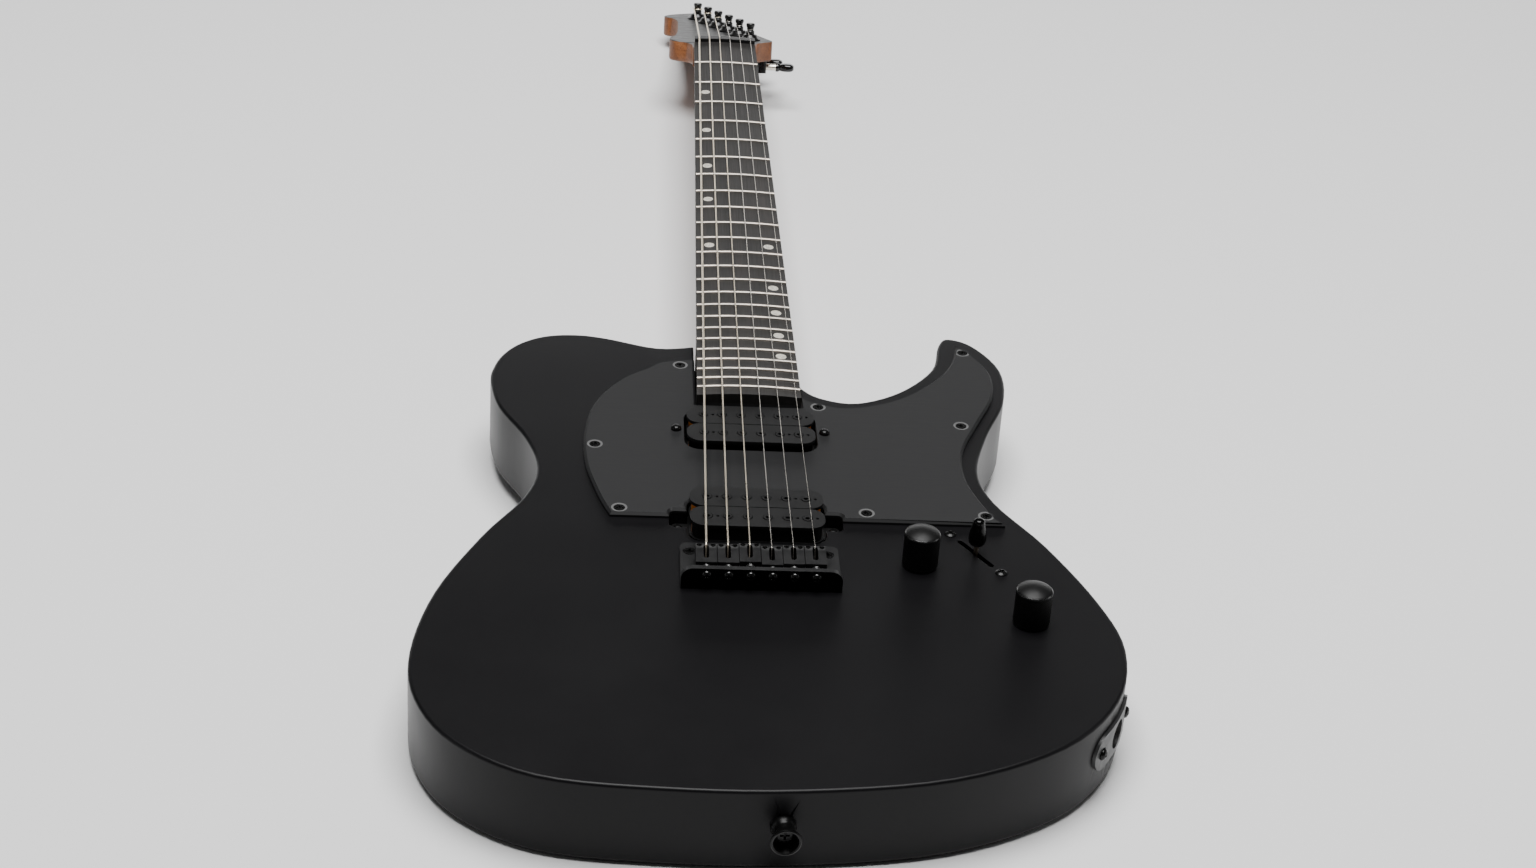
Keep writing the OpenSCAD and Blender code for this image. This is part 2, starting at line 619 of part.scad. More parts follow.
// Tuning post i, with a waist for the string and a flared crown
module tuner_post(i) {
    color("#1a1a1b") on_head() translate([post_x(i), post_s(i), 0]) difference() {
        rotate_extrude() polygon([[0, -head_t - housing_t + 2], [post_r, -head_t - housing_t + 2],
            [post_r, waist_z - 1.6], [waist_r, waist_z - 0.9], [waist_r, waist_z + 0.9],
            [post_r - 0.1, waist_z + 1.7], [post_r + 0.2, post_h - 1], [post_r - 0.3, post_h],
            [0, post_h]]);
        translate([0, 0, waist_z]) rotate([0, 90, 20]) cylinder(20, 0.7, 0.7, center = true, $fn = 16);
    }
}
// Button i and its worm shaft, which lies behind the headstock and turns the post
module tuner_button(i) {
    color("#0e0e0f") on_head() translate([post_x(i), post_s(i), worm_z]) rotate([0, 90, 0]) {
        translate([0, 0, post_r + gap + 1.2]) cylinder(7, 1.8, 1.8);
        translate([0, 0, post_r + gap + 8.2]) cylinder(button_x - 16, 2.3, 2.3);
        translate([0, 0, button_x - 6.6]) rotate_extrude() polygon([[0, 0], [3.2, 0], [3.2, 1.6],
            [2.5, 3.2], [0, 3.2]]);
        translate([0, 0, button_x]) rotate([90, 0, 90]) translate([0, 0, -3]) linear_extrude(6)
            polygon(smooth([[-2.5, -4], [2.5, -4], [4.9, 0.5], [4.6, 5.2], [0, 6.7], [-4.6, 5.2],
                [-4.9, 0.5]], 4));
    }
}

// ---- pickups ----

module pickup_bobbins() {
    color("#0d0d0e") at_pickups() for (side = [-1, 1]) translate([0, coil_y(side), 0]) difference() {
        union() {
            translate([0, 0, -1.8]) linear_extrude(1.8) rounded(coil_w, coil_l, 7.5);
            translate([0, 0, -bobbin_h]) linear_extrude(1.2) rounded(coil_w, coil_l, 7.5);
            translate([0, 0, -bobbin_h]) linear_extrude(bobbin_h) slot(58, 6.4);
        }
        for (k = [0 : 5]) translate([pole_x(k), 0, -bobbin_h - 1])
            cylinder(bobbin_h + 2, pole_r + 0.35, pole_r + 0.35);
        for (x = pin_x) translate([x, 0, -1.4]) cylinder(2, 0.8, 0.8, $fn = 24);
    }
}
module pickup_baseplates() {
    color("#8f8f92") at_pickups() translate([0, 0, -bobbin_h - 5.2]) difference() {
        linear_extrude(1) {
            rounded(coil_w + 1, 2 * coil_l + coil_gap, 7.8);
            rounded(86.5, 11, 3);
        }
        for (x = [-1, 1]) translate([x * ear_x, 0, -1]) cylinder(4, 1.3, 1.3);
        for (side = [-1, 1], k = [0 : 5]) translate([pole_x(k), coil_y(side), -1]) cylinder(4, 2.9, 2.9);
    }
}
module pickup_coils() {
    color("#b4602a") at_pickups() for (side = [-1, 1])
        translate([0, coil_y(side), -bobbin_h + 1.3]) linear_extrude(bobbin_h - 3.2) difference() {
            rounded(coil_w - 2.4, coil_l - 2, 6.5);
            slot(58.2, 6.6);
        }
}
module pickup_magnets() {
    color("#3c3e42") at_pickups() translate([0, 0, -bobbin_h - 2.1]) cube([60, 8, 4], center = true);
}
module pickup_poles() {
    color("#1a1a1b") at_pickups() for (side = [-1, 1], k = [0 : 5])
        translate([pole_x(k), coil_y(side), -bobbin_h - 5]) difference() {
            cylinder(bobbin_h + 5.2, pole_r, pole_r);
            translate([0, 0, bobbin_h + 2.6]) cylinder(4, 1.3, 1.3, $fn = 6);
        }
}
module pickup_screws() {
    color("#1a1a1b") for (x = [-1, 1]) {
        translate([x * ear_x, neck_pickup_y, guard_z]) {
            rotate_extrude() polygon([[0, 0], [2.9, 0], [2.7, 1.2], [1.6, 2.2], [0, 2.4]]);
            translate([0, 0, -19]) cylinder(19, 1.2, 1.2);
        }
        translate([x * ear_x, bridge_pickup_y, bridge_pickup_z - bobbin_h - 4.2]) {
            rotate_extrude() polygon([[0, 0], [2.6, 0], [2.4, 1.2], [1.4, 2.2], [0, 2.4]]);
            translate([0, 0, -25]) cylinder(25, 1.2, 1.2);
        }
    }
}

// ---- controls ----

rim_r = knob_r - 0.6;                   // the knob's dome starts here, inside a chamfer
dome_h = 2.2;
dome_z = knob_h - 1.8;                  // foot of the dome
function knob_top(r) = dome_z + dome_h * (1 - pow(r / rim_r, 2));
// A domed knob over its pot's nut; the shaft fills its bore
module knob() {
    translate([0, 0, top_z + 0.5]) rotate_extrude($fn = 96) polygon(concat(
        [[3, 5], [7, 5], [7, 0], [knob_r - 0.4, 0], [knob_r, 0.4], [knob_r, dome_z - 0.6]],
        [for (r = [rim_r : -1.2 : 1]) [r, knob_top(r)]],
        [[0, knob_top(0)], [0, knob_h - 3.5], [3, knob_h - 3.5]]));
}
module volume_knob() { color("#161617") translate(concat(volume_at, 0)) knob(); }
module tone_knob() { color("#161617") translate(concat(tone_at, 0)) knob(); }
module pot_shaft() { translate([0, 0, shelf_z - 4]) cylinder(knob_h + shelf_t + 1, 3, 3); }
module volume_shaft() { color("#b9bcc0") translate(concat(volume_at, 0)) pot_shaft(); }
module tone_shaft() { color("#b9bcc0") translate(concat(tone_at, 0)) pot_shaft(); }
module pots() {
    color("#a9acb0") for (p = [volume_at, tone_at]) translate([p[0], p[1], 0]) difference() {
        union() {
            translate([0, 0, shelf_z - 9.5]) cylinder(9.5, 12, 12);
            translate([0, 0, shelf_z - 0.5]) cylinder(shelf_t + 4.5, 4.6, 4.6);
            translate([0, 0, top_z]) cylinder(0.6, 6.2, 6.2);
            translate([0, 0, top_z + 0.6]) cylinder(2.2, 6, 6, $fn = 6);
            translate([0, -13, shelf_z - 7]) cube([14, 8, 1.4], center = true);
        }
        translate([0, 0, shelf_z - 4.5]) cylinder(30, 3 + fit, 3 + fit);
    }
}

// Places its children at the switch, with X along its slot
module on_switch() { translate([switch_at[0], switch_at[1], 0]) rotate(switch_turn) children(); }
pivot_z = shelf_z - 12;
module switch_body() {
    color("#77787c") on_switch() difference() {
        union() {
            translate([0, 0, shelf_z - 0.7]) cube([47, 9, 1.4], center = true);
            for (y = [-1, 1]) translate([0, y * 3.6, shelf_z - 8]) cube([30, 1.2, 16], center = true);
            translate([0, 5.4, shelf_z - 10.5]) cube([34, 2.6, 13], center = true);
        }
        translate([0, 0, shelf_z - 3]) cube([28, 2.6, 8], center = true);
        for (x = [-1, 1]) translate([x * switch_screw_x, 0, shelf_z - 3]) cylinder(6, 1.4, 1.4);
        translate([0, 0, pivot_z]) rotate([90, 0, 0]) cylinder(20, 1.2 + fit, 1.2 + fit, center = true);
    }
}
tip_z = top_z + 5.4;                    // foot of the switch tip
module switch_lever() {
    color("#b08d57") on_switch() {
        translate([0, 0.6, 0]) rotate([90, 0, 0]) linear_extrude(1.2) difference() {
            polygon([[-4, pivot_z - 3.4], [4, pivot_z - 3.4], [4, pivot_z + 5], [1.2, pivot_z + 9],
                [1.2, tip_z + 6], [-1.2, tip_z + 6], [-1.2, pivot_z + 9], [-4, pivot_z + 5]]);
            translate([0, pivot_z]) circle(1.2);
        }
        translate([0, 0, pivot_z]) rotate([90, 0, 0]) cylinder(9.4, 1.2, 1.2, center = true);
    }
}
module switch_tip() {
    color("#0b0b0c") on_switch() translate([0, 0, tip_z]) difference() {
        rotate_extrude() polygon([[0, 0], [2.9, 0], [3.7, 0.8], [4.3, 2.3], [4.55, 4.2], [4.35, 6.4],
            [3.9, 8.8], [3.4, 11.1], [3.1, 13.1], [2.8, 14.2], [2, 14.9], [0, 15.2]]);
        translate([0, 0, 2.9]) cube([2.6, 1.2, 6.2], center = true);
    }
}
module switch_screws() {
    color("#141415") on_switch() for (x = [-1, 1]) translate([x * switch_screw_x, 0, top_z]) difference() {
        union() {
            rotate_extrude() polygon([[0, 0], [3.15, 0], [3, 0.5], [1.8, 1.2], [0, 1.5]]);
            translate([0, 0, -9]) cylinder(9, 1.35, 1.35);
        }
        translate([0, 0, 1.5]) cross_recess(1.9, 1.2);
    }
}

// ---- jack and strap buttons ----

// Places its children on the side wall at the jack, Z pointing out of the wall, Y along it
jack_at = [165.3, -107.1, 24.5];
jack_turn = -24.7;
module on_jack() { translate(jack_at) rotate([0, 90, jack_turn]) children(); }
jack_plate_t = 1.6;
cup_z = -3.2;                           // floor of the plate's cup, which holds the socket
jack_screw_y = 18.6;                     // from the socket to each of its plate's screws
jack_seat = -0.7;                       // seat of the plate's screws, below the jack's own seat
module jack_plate() {
    color("#37373a") difference() {
        union() {
            intersection() {
                difference() {
                    translate([0, 0, 2]) linear_extrude(body_t - 4) polygon(grow(body_edge, jack_plate_t));
                    translate([0, 0, 1]) linear_extrude(body_t) polygon(body_edge);
                }
                on_jack() translate([0, 0, -14]) linear_extrude(30) rotate(90) slot(51, 19.5);
            }
            on_jack() translate([0, 0, cup_z - 1.2]) cylinder(1.2 - cup_z + 0.6, 8.4, 8.4);
        }
        on_jack() translate([0, 0, cup_z]) cylinder(20, 7.3, 7.3);
        on_jack() translate([0, 0, -10]) cylinder(20, 4.9, 4.9);
        for (y = [-1, 1]) on_jack() translate([0, y * jack_screw_y, 0]) {
            translate([0, 0, -10]) cylinder(20, 1.5, 1.5);
            translate([0, 0, jack_seat]) cylinder(10, 3.3, 3.3);
        }
    }
}
jack_bore_r = 3.2;
module output_jack() {
    color("#c4c4c2") on_jack() difference() {
        union() {
            translate([0, 0, -26]) cylinder(25.4, 4.7, 4.7);
            translate([0, 0, cup_z]) rotate_extrude()
                polygon([[4.6, 0], [5.9, 0], [5.9, 1], [5.4, 1.7], [4.6, 1.7]]);
            translate([0, 0, -24]) cylinder(19.4, 7.5, 7.5);
        }
        translate([0, 0, -22]) cylinder(40, jack_bore_r, jack_bore_r);
    }
}
module jack_plate_screws() {
    color("#101011") for (y = [-1, 1]) on_jack() translate([0, y * jack_screw_y, jack_seat]) difference() {
        union() {
            rotate_extrude() polygon([[0, 0], [2.9, 0], [2.9, 1.1], [2.3, 1.9], [1.2, 2.3], [0, 2.4]]);
            translate([0, 0, -12]) cylinder(12, 0.95, 0.95);
        }
        translate([0, 0, 2.4]) cross_recess(1.7, 1.4);
    }
}

strap_z = 25;
strap_seat = 7;                         // floor of a strap button's dish, which its screw holds
// Places its children on each strap button's seat, Z pointing out of the body
module on_strap_buttons() {
    translate([5, -183.03, strap_z]) rotate([90, 0, 3.8]) children();
    translate([-94.7, 232.8, strap_z]) rotate([-90, 0, 0]) children();
}
module strap_buttons() {
    color("#0c0c0d") on_strap_buttons() difference() {
        translate([0, 0, 0.1]) rotate_extrude($fn = 64) polygon([[0, 0], [6, 0], [6, 1.5], [5.3, 2.6],
            [4.7, 4.2], [4.7, 6.4], [5.4, 8.5], [6.8, 10.3], [7.2, 11.3], [7.1, 12], [6.6, 12.3],
            [5.9, 12], [3.9, strap_seat - 0.1], [0, strap_seat - 0.1]]);
        translate([0, 0, -1]) cylinder(30, 2, 2);
        translate([0, 0, strap_seat - 2.9]) cylinder(3.2, 1.9, 4);
    }
}
module strap_button_screws() {
    color("#1a1a1b") on_strap_buttons() translate([0, 0, strap_seat]) difference() {
        union() {
            translate([0, 0, -2.2]) cylinder(2.2, 1.6, 3.4);
            translate([0, 0, -29]) cylinder(27, 1.55, 1.55);
        }
        cross_recess(2.2, 1.3);
    }
}

body();
control_cover();
cover_screws();
pickguard();
neck();
fretboard();
frets();
nut();
inlay_dots();
truss_rod();
neck_bolts();
neck_ferrules();
bridge_plate();
bridge_screws();
saddle(0);  // saddle_1
saddle(1);  // saddle_2
saddle(2);  // saddle_3
saddle(3);  // saddle_4
saddle(4);  // saddle_5
saddle(5);  // saddle_6
intonation_screws();
intonation_springs();
string_ferrules();
wound_strings();
plain_strings();
tuner_housings();
tuner_bushings();
tuner_screws();
tuner_post(0);  // tuner_post_1
tuner_post(1);  // tuner_post_2
tuner_post(2);  // tuner_post_3
tuner_post(3);  // tuner_post_4
tuner_post(4);  // tuner_post_5
tuner_post(5);  // tuner_post_6
tuner_button(0);  // tuner_button_1
tuner_button(1);  // tuner_button_2
tuner_button(2);  // tuner_button_3
tuner_button(3);  // tuner_button_4
tuner_button(4);  // tuner_button_5
tuner_button(5);  // tuner_button_6
pickup_bobbins();
pickup_baseplates();
pickup_coils();
pickup_magnets();
pickup_poles();
pickup_screws();
volume_knob();
tone_knob();
volume_shaft();
tone_shaft();
pots();
switch_body();
switch_lever();
switch_tip();
switch_screws();
jack_plate();
output_jack();
jack_plate_screws();
strap_buttons();
strap_button_screws();
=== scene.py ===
"""Looks of the electric guitar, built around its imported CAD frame."""
import json
import math
import bmesh
import bpy
from mathutils import Matrix, Vector


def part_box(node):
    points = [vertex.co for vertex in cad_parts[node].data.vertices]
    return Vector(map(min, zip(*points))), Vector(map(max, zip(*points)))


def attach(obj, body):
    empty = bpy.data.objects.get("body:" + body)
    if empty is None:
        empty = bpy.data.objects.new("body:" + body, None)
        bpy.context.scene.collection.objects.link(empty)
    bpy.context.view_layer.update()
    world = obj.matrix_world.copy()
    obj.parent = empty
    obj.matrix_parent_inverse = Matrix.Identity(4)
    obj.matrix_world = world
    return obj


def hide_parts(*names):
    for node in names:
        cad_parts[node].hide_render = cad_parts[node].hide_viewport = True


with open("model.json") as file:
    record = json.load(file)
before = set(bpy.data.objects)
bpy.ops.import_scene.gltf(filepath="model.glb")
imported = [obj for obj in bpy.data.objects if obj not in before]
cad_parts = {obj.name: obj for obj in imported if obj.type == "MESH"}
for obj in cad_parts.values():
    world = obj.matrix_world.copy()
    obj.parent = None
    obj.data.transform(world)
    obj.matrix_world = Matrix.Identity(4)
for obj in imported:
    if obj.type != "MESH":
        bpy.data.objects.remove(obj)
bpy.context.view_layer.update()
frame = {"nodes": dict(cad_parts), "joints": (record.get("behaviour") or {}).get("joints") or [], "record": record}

MM = 0.001
NODES = frame["nodes"]
JOINTS = {j["name"]: j for j in frame["joints"]}
BODY_OF = {n: b for b, ns in frame["record"]["behaviour"]["bodies"].items() for n in ns}
STRINGS = range(6)
COLLECTION = bpy.context.scene.collection


# ---- placing: frames taken from the CAD ----

def centre(node):
    """Middle of a CAD node's box."""
    lo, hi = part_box(node)
    return (lo + hi) / 2


def frame_at(origin, z_axis, x_axis):
    """Matrix whose Z and X columns are these directions, at origin."""
    z = Vector(z_axis).normalized()
    x = Vector(x_axis)
    x = (x - z * x.dot(z)).normalized()
    y = z.cross(x)
    m = Matrix((x, y, z)).transposed().to_4x4()
    m.translation = Vector(origin)
    return m


HEAD_OUT = Vector(JOINTS["post_1_turn"]["axis"]).normalized()
HEAD_THICK = 14 * MM


# ---- materials ----

MIX_A, MIX_B, MIX_RESULT = 6, 7, 2      # the colour sockets of a mix node


class Look:
    """A principled material with small helpers for its procedural detail."""

    def __init__(self, name, colour, rough, metallic=0.0, **sockets):
        self.mat = bpy.data.materials.new(name)
        self.mat.use_nodes = True
        self.tree = self.mat.node_tree
        self.shader = self.tree.nodes["Principled BSDF"]
        self.put("Base Color", (*colour, 1))
        self.put("Roughness", rough)
        self.put("Metallic", metallic)
        for key, value in sockets.items():
            self.put(key.replace("_", " "), value)
        self.place = self.node("ShaderNodeTexCoord").outputs["Object"]
        self.height = None

    def node(self, kind, **settings):
        """A new node with its settings made."""
        n = self.tree.nodes.new(kind)
        for key, value in settings.items():
            setattr(n, key, value)
        return n

    def put(self, socket, value):
        """Sets a constant on a socket of the shader."""
        self.shader.inputs[socket].default_value = value

    def link(self, a, b):
        """Joins output a to input b."""
        self.tree.links.new(a, b)

    def stretched(self, scale, turn=(0, 0, 0)):
        """Object coordinates scaled (and turned) so that a pattern runs along an axis."""
        n = self.node("ShaderNodeMapping")
        n.inputs["Scale"].default_value = scale
        n.inputs["Rotation"].default_value = turn
        self.link(self.place, n.inputs["Vector"])
        return n.outputs["Vector"]

    def noise(self, scale, detail=4.0, rough=0.6, at=None, distortion=0.0):
        """Noise with scale cells to the metre, roughly."""
        n = self.node("ShaderNodeTexNoise")
        n.inputs["Scale"].default_value = scale
        n.inputs["Detail"].default_value = detail
        n.inputs["Roughness"].default_value = rough
        n.inputs["Distortion"].default_value = distortion
        self.link(at or self.place, n.inputs["Vector"])
        return n.outputs["Fac"]

    def ramp(self, fac, stops):
        """Colour ramp from a list of (position, colour or grey value)."""
        n = self.node("ShaderNodeValToRGB")
        while len(n.color_ramp.elements) < len(stops):
            n.color_ramp.elements.new(0.5)
        for e, (pos, c) in zip(n.color_ramp.elements, stops):
            e.position = pos
            e.color = (*c, 1) if isinstance(c, tuple) else (c, c, c, 1)
        self.link(fac, n.inputs["Fac"])
        return n.outputs["Color"]

    def multiply(self, a, b, factor):
        """Colour a darkened by colour b, as far as factor."""
        n = self.node("ShaderNodeMix", data_type="RGBA", blend_type="MULTIPLY")
        n.inputs["Factor"].default_value = factor
        self.link(a, n.inputs[MIX_A])
        self.link(b, n.inputs[MIX_B])
        return n.outputs[MIX_RESULT]

    def colour(self, out):
        """Takes the base colour from an output."""
        self.link(out, self.shader.inputs["Base Color"])

    def rough(self, fac, low, high):
        """Roughness that runs from low to high over the middle of fac's range."""
        n = self.node("ShaderNodeMapRange")
        n.inputs["To Min"].default_value = low
        n.inputs["To Max"].default_value = high
        n.inputs["From Min"].default_value = 0.3
        n.inputs["From Max"].default_value = 0.7
        self.link(fac, n.inputs["Value"])
        self.link(n.outputs["Result"], self.shader.inputs["Roughness"])

    def bump(self, height, depth_mm, strength=1.0):
        """Adds one layer of bump, depth_mm deep."""
        n = self.node("ShaderNodeBump")
        n.inputs["Strength"].default_value = strength
        n.inputs["Distance"].default_value = depth_mm * MM
        self.link(height, n.inputs["Height"])
        if self.height:
            self.link(self.height, n.inputs["Normal"])
        self.height = n.outputs["Normal"]
        self.link(self.height, self.shader.inputs["Normal"])


def lacquer():
    """Satin black lacquer: fine orange peel, faint handling haze."""
    m = Look("satin_lacquer", (0.0038, 0.0036, 0.0042), 0.36, Specular_IOR_Level=0.16)
    haze = m.noise(9, 5, 0.65)
    m.rough(haze, 0.34, 0.4)
    m.bump(m.noise(900, 2, 0.5), 0.012, 0.35)
    return m.mat


def guard_plastic():
    """Matte black plastic sheet with fine rubbed scratches."""
    m = Look("guard_plastic", (0.01, 0.01, 0.0105), 0.5, Specular_IOR_Level=0.25)
    grain = m.noise(1600, 3, 0.6)
    scratches = m.noise(60, 6, 0.7, at=m.stretched((1, 14, 1), (0, 0, 0.5)))
    m.colour(m.ramp(scratches, [(0.35, (0.009, 0.009, 0.0095)), (0.7, (0.012, 0.012, 0.0125))]))
    m.rough(scratches, 0.5, 0.6)
    m.bump(grain, 0.01, 0.4)
    return m.mat


def plastic(name, colour, rough, grain_scale=1400.0, depth=0.012, specular=0.4):
    """Moulded plastic with a fine sparked grain."""
    m = Look(name, colour, rough, Specular_IOR_Level=specular)
    m.rough(m.noise(120, 4, 0.6), rough - 0.05, rough + 0.05)
    m.bump(m.noise(grain_scale, 2, 0.5), depth, 0.4)
    return m.mat


def gloss_plastic():
    """Polished black plastic with hairline swirls in the gloss."""
    m = Look("gloss_plastic", (0.003, 0.003, 0.003), 0.12, Coat_Weight=0.25, Coat_Roughness=0.05)
    m.rough(m.noise(400, 5, 0.7), 0.07, 0.14)
    return m.mat


def wood(name, dark, mid, light, rough_range, pore_depth, figure=1.0):
    """Wood whose grain runs along Y: growth streaks, fibre and open pores."""
    m = Look(name, mid, 0.5)
    long_grain = m.stretched((1, 0.045, 1))
    streak = m.noise(110 * figure, 5, 0.62, at=long_grain, distortion=1.4)
    fibre = m.noise(900, 3, 0.7, at=m.stretched((1, 0.02, 1)))
    pores = m.noise(1500, 2, 0.5, at=m.stretched((1, 0.05, 1)))
    base = m.ramp(streak, [(0.3, dark), (0.5, mid), (0.72, light)])
    fibre_tone = m.ramp(fibre, [(0.3, 0.72), (0.7, 1.0)])
    pore_tone = m.ramp(pores, [(0.36, 0.45), (0.44, 1.0)])
    m.colour(m.multiply(m.multiply(base, fibre_tone, 1.0), pore_tone, 0.8))
    m.rough(fibre, *rough_range)
    m.bump(fibre, 0.03, 0.3)
    m.bump(pore_tone, pore_depth, 0.5)
    return m.mat


def metal(name, colour, rough, brush=None, wear=None):
    """Bare metal: a brushed direction and, with wear, an uneven tarnish of that colour."""
    m = Look(name, colour, rough, 1.0)
    at = m.stretched(brush) if brush else None
    lines = m.noise(1200, 4, 0.7, at=at)
    m.rough(lines, rough - 0.08, rough + 0.1)
    if wear:
        m.colour(m.ramp(m.noise(70, 5, 0.6), [(0.35, wear), (0.6, colour)]))
    m.bump(lines, 0.006, 0.3)
    return m.mat


def powder_coat(name, colour, rough, specular=0.5):
    """Baked black powder coat: a fine pebble and rubbed lighter patches."""
    m = Look(name, colour, rough, Specular_IOR_Level=specular)
    pebble = m.noise(2600, 2, 0.5)
    rub = m.noise(150, 4, 0.6)
    bright = tuple(c * 1.5 for c in colour)
    m.colour(m.ramp(rub, [(0.4, colour), (0.75, bright)]))
    m.rough(rub, rough, rough + 0.12)
    m.bump(pebble, 0.02, 0.35)
    return m.mat


def wound_wire():
    """Wound string: rings of wrap wire along Y, warm and bright, with painted shade in the grooves between the
    wraps.
    """
    m = Look("wound_wire", (0.78, 0.67, 0.52), 0.3, 1.0)
    wave = m.node("ShaderNodeTexWave", wave_type="BANDS", bands_direction="Y", wave_profile="SIN")
    wave.inputs["Scale"].default_value = 700.0
    m.link(m.place, wave.inputs["Vector"])
    # painted shade: the colour darkens where the bands sink, in the grooves between wraps
    m.colour(m.ramp(wave.outputs["Fac"], [(0.0, (0.7, 0.58, 0.43)), (0.6, (0.95, 0.86, 0.7))]))
    m.rough(m.noise(90, 4, 0.6), 0.26, 0.36)
    m.bump(wave.outputs["Fac"], 0.05, 0.35)
    return m.mat


def pearl():
    """Pearloid dot: soft cloudy bands under a clear gloss."""
    m = Look("pearl", (0.62, 0.58, 0.5), 0.25, Coat_Weight=0.4, Coat_Roughness=0.15)
    cloud = m.noise(420, 3, 0.5, distortion=2.0)
    m.colour(m.ramp(cloud, [(0.3, (0.45, 0.42, 0.36)), (0.7, (0.72, 0.68, 0.6))]))
    m.rough(cloud, 0.2, 0.35)
    return m.mat


def copper_wrap():
    """Copper-coloured tape round the coils, with the wire's fine lines."""
    m = Look("copper_wrap", (0.9, 0.3, 0.04), 0.35)
    turns = m.noise(2200, 2, 0.5, at=m.stretched((0.05, 0.05, 1)))
    m.colour(m.ramp(turns, [(0.35, (0.95, 0.22, 0.015)), (0.65, (1.0, 0.38, 0.04))]))
    m.rough(turns, 0.3, 0.45)
    m.bump(turns, 0.02, 0.5)
    return m.mat


def knurled():
    """Satin black knob. The knurl itself is in the mesh."""
    m = Look("knob_black", (0.0035, 0.0035, 0.0035), 0.38, Specular_IOR_Level=0.2)
    m.rough(m.noise(500, 4, 0.6), 0.38, 0.44)
    m.bump(m.noise(2500, 2, 0.5), 0.003, 0.2)
    return m.mat


LOOKS = {
    "lacquer": lacquer(),
    "guard": guard_plastic(),
    "bobbin": plastic("bobbin_plastic", (0.006, 0.006, 0.0062), 0.42, specular=0.25),
    "cover": plastic("cover_plastic", (0.014, 0.014, 0.015), 0.5, 700.0, 0.03),
    "gloss": gloss_plastic(),
    "maple": wood("roasted_maple", (0.13, 0.042, 0.014), (0.235, 0.083, 0.028), (0.33, 0.13, 0.048),
                  (0.36, 0.5), 0.012, 0.6),
    "ebony": wood("ebony", (0.0075, 0.0065, 0.006), (0.014, 0.0125, 0.0115), (0.024, 0.02, 0.018),
                  (0.5, 0.66), 0.05),
    # the headstock face's real paint, also used as painted shade on the heel's end and bass side
    "head_paint_and_heel_shade": powder_coat("head_paint_and_heel_shade", (0.016, 0.016, 0.0165), 0.36),
    "fret": metal("fret_nickel", (0.3, 0.275, 0.245), 0.36, (0.05, 1, 1), (0.4, 0.35, 0.3)),
    "nickel": metal("jack_nickel", (0.95, 0.92, 0.85), 0.34, None, (0.8, 0.74, 0.62)),
    "steel": metal("drawn_steel", (0.8, 0.76, 0.7), 0.28, (1, 0.05, 1), (0.66, 0.62, 0.56)),
    "zinc": metal("plated_steel", (0.5, 0.5, 0.49), 0.38, None, (0.36, 0.36, 0.35)),
    "brass": metal("lever_brass", (0.75, 0.66, 0.54), 0.35, (1, 1, 0.05), (0.6, 0.5, 0.38)),
    "magnet": metal("magnet_alloy", (0.12, 0.12, 0.125), 0.55),
    "wound": wound_wire(),
    "coat": powder_coat("black_coat", (0.006, 0.006, 0.0063), 0.36, 0.28),
    "dark_spring": metal("spring_wire", (0.16, 0.16, 0.16), 0.3, (1, 0.05, 1)),
    "screw": powder_coat("black_oxide", (0.003, 0.003, 0.003), 0.2, 0.22),
    # painted shade: a darker, duller copy of the black coat for the bridge's rear wall
    "wall": powder_coat("wall_painted_shade", (0.0012, 0.0012, 0.0012), 0.5, 0.06),
    # painted light: the jack plate is a lighter copy of the black coat, standing in for its lit face
    "plate": powder_coat("jack_plate_coat", (0.018, 0.018, 0.0185), 0.36, 0.5),
    "button": powder_coat("button_black", (0.0022, 0.0022, 0.0022), 0.25, 0.2),
    "tuner": powder_coat("tuner_black", (0.004, 0.004, 0.004), 0.22),
    "pearl": pearl(),
    "copper": copper_wrap(),
    "knob": knurled(),
    "nut": plastic("nut_black", (0.008, 0.008, 0.008), 0.3),
    "guard_ring": plastic("guard_ring", (0.1, 0.1, 0.1), 0.45),
    "tip": plastic("tip_plastic", (0.002, 0.002, 0.002), 0.16, 300, 0.01, 0.2),
    "knob_ring": metal("knob_ring", (0.1, 0.1, 0.1), 0.25),
    "set_screw": metal("set_screw", (0.12, 0.12, 0.12), 0.25),
    "tape": plastic("coil_tape", (0.006, 0.006, 0.006), 0.3, 500.0, 0.02),
}


# ---- mesh tools ----

SHARP_EDGE = 40                 # degrees: edges sharper than this are rounded
FLAT = 0.01 * MM                # how far a face may be from a level to count as on it


def cad_copy(node):
    """The CAD node's mesh with its split corners welded."""
    bm = bmesh.new()
    bm.from_mesh(NODES[node].data)
    bmesh.ops.remove_doubles(bm, verts=bm.verts, dist=0.003 * MM)
    bmesh.ops.recalc_face_normals(bm, faces=bm.faces)
    return bm


def finish_mesh(obj, sharp):
    """Smooth shading with sharp edges kept, weighted towards the large faces."""
    obj.data.shade_smooth()
    obj.data.set_sharp_from_angle(angle=math.radians(sharp))
    w = obj.modifiers.new("weights", "WEIGHTED_NORMAL")
    w.keep_sharp = True


def piece(name, bm, node, look, sharp=35.0):
    """Makes the object for a bmesh, in its look or looks, riding on its CAD node's body."""
    mesh = bpy.data.meshes.new(name)
    bm.to_mesh(mesh)
    bm.free()
    obj = bpy.data.objects.new(name, mesh)
    COLLECTION.objects.link(obj)
    for m in (look if isinstance(look, list) else [look]):
        obj.data.materials.append(LOOKS[m])
    finish_mesh(obj, sharp)
    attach(obj, BODY_OF[node])
    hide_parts(node)
    return obj


def join_flats(bm):
    """Joins the CAD triangles of each flat face."""
    bmesh.ops.dissolve_limit(bm, angle_limit=0.004, verts=bm.verts, edges=bm.edges)


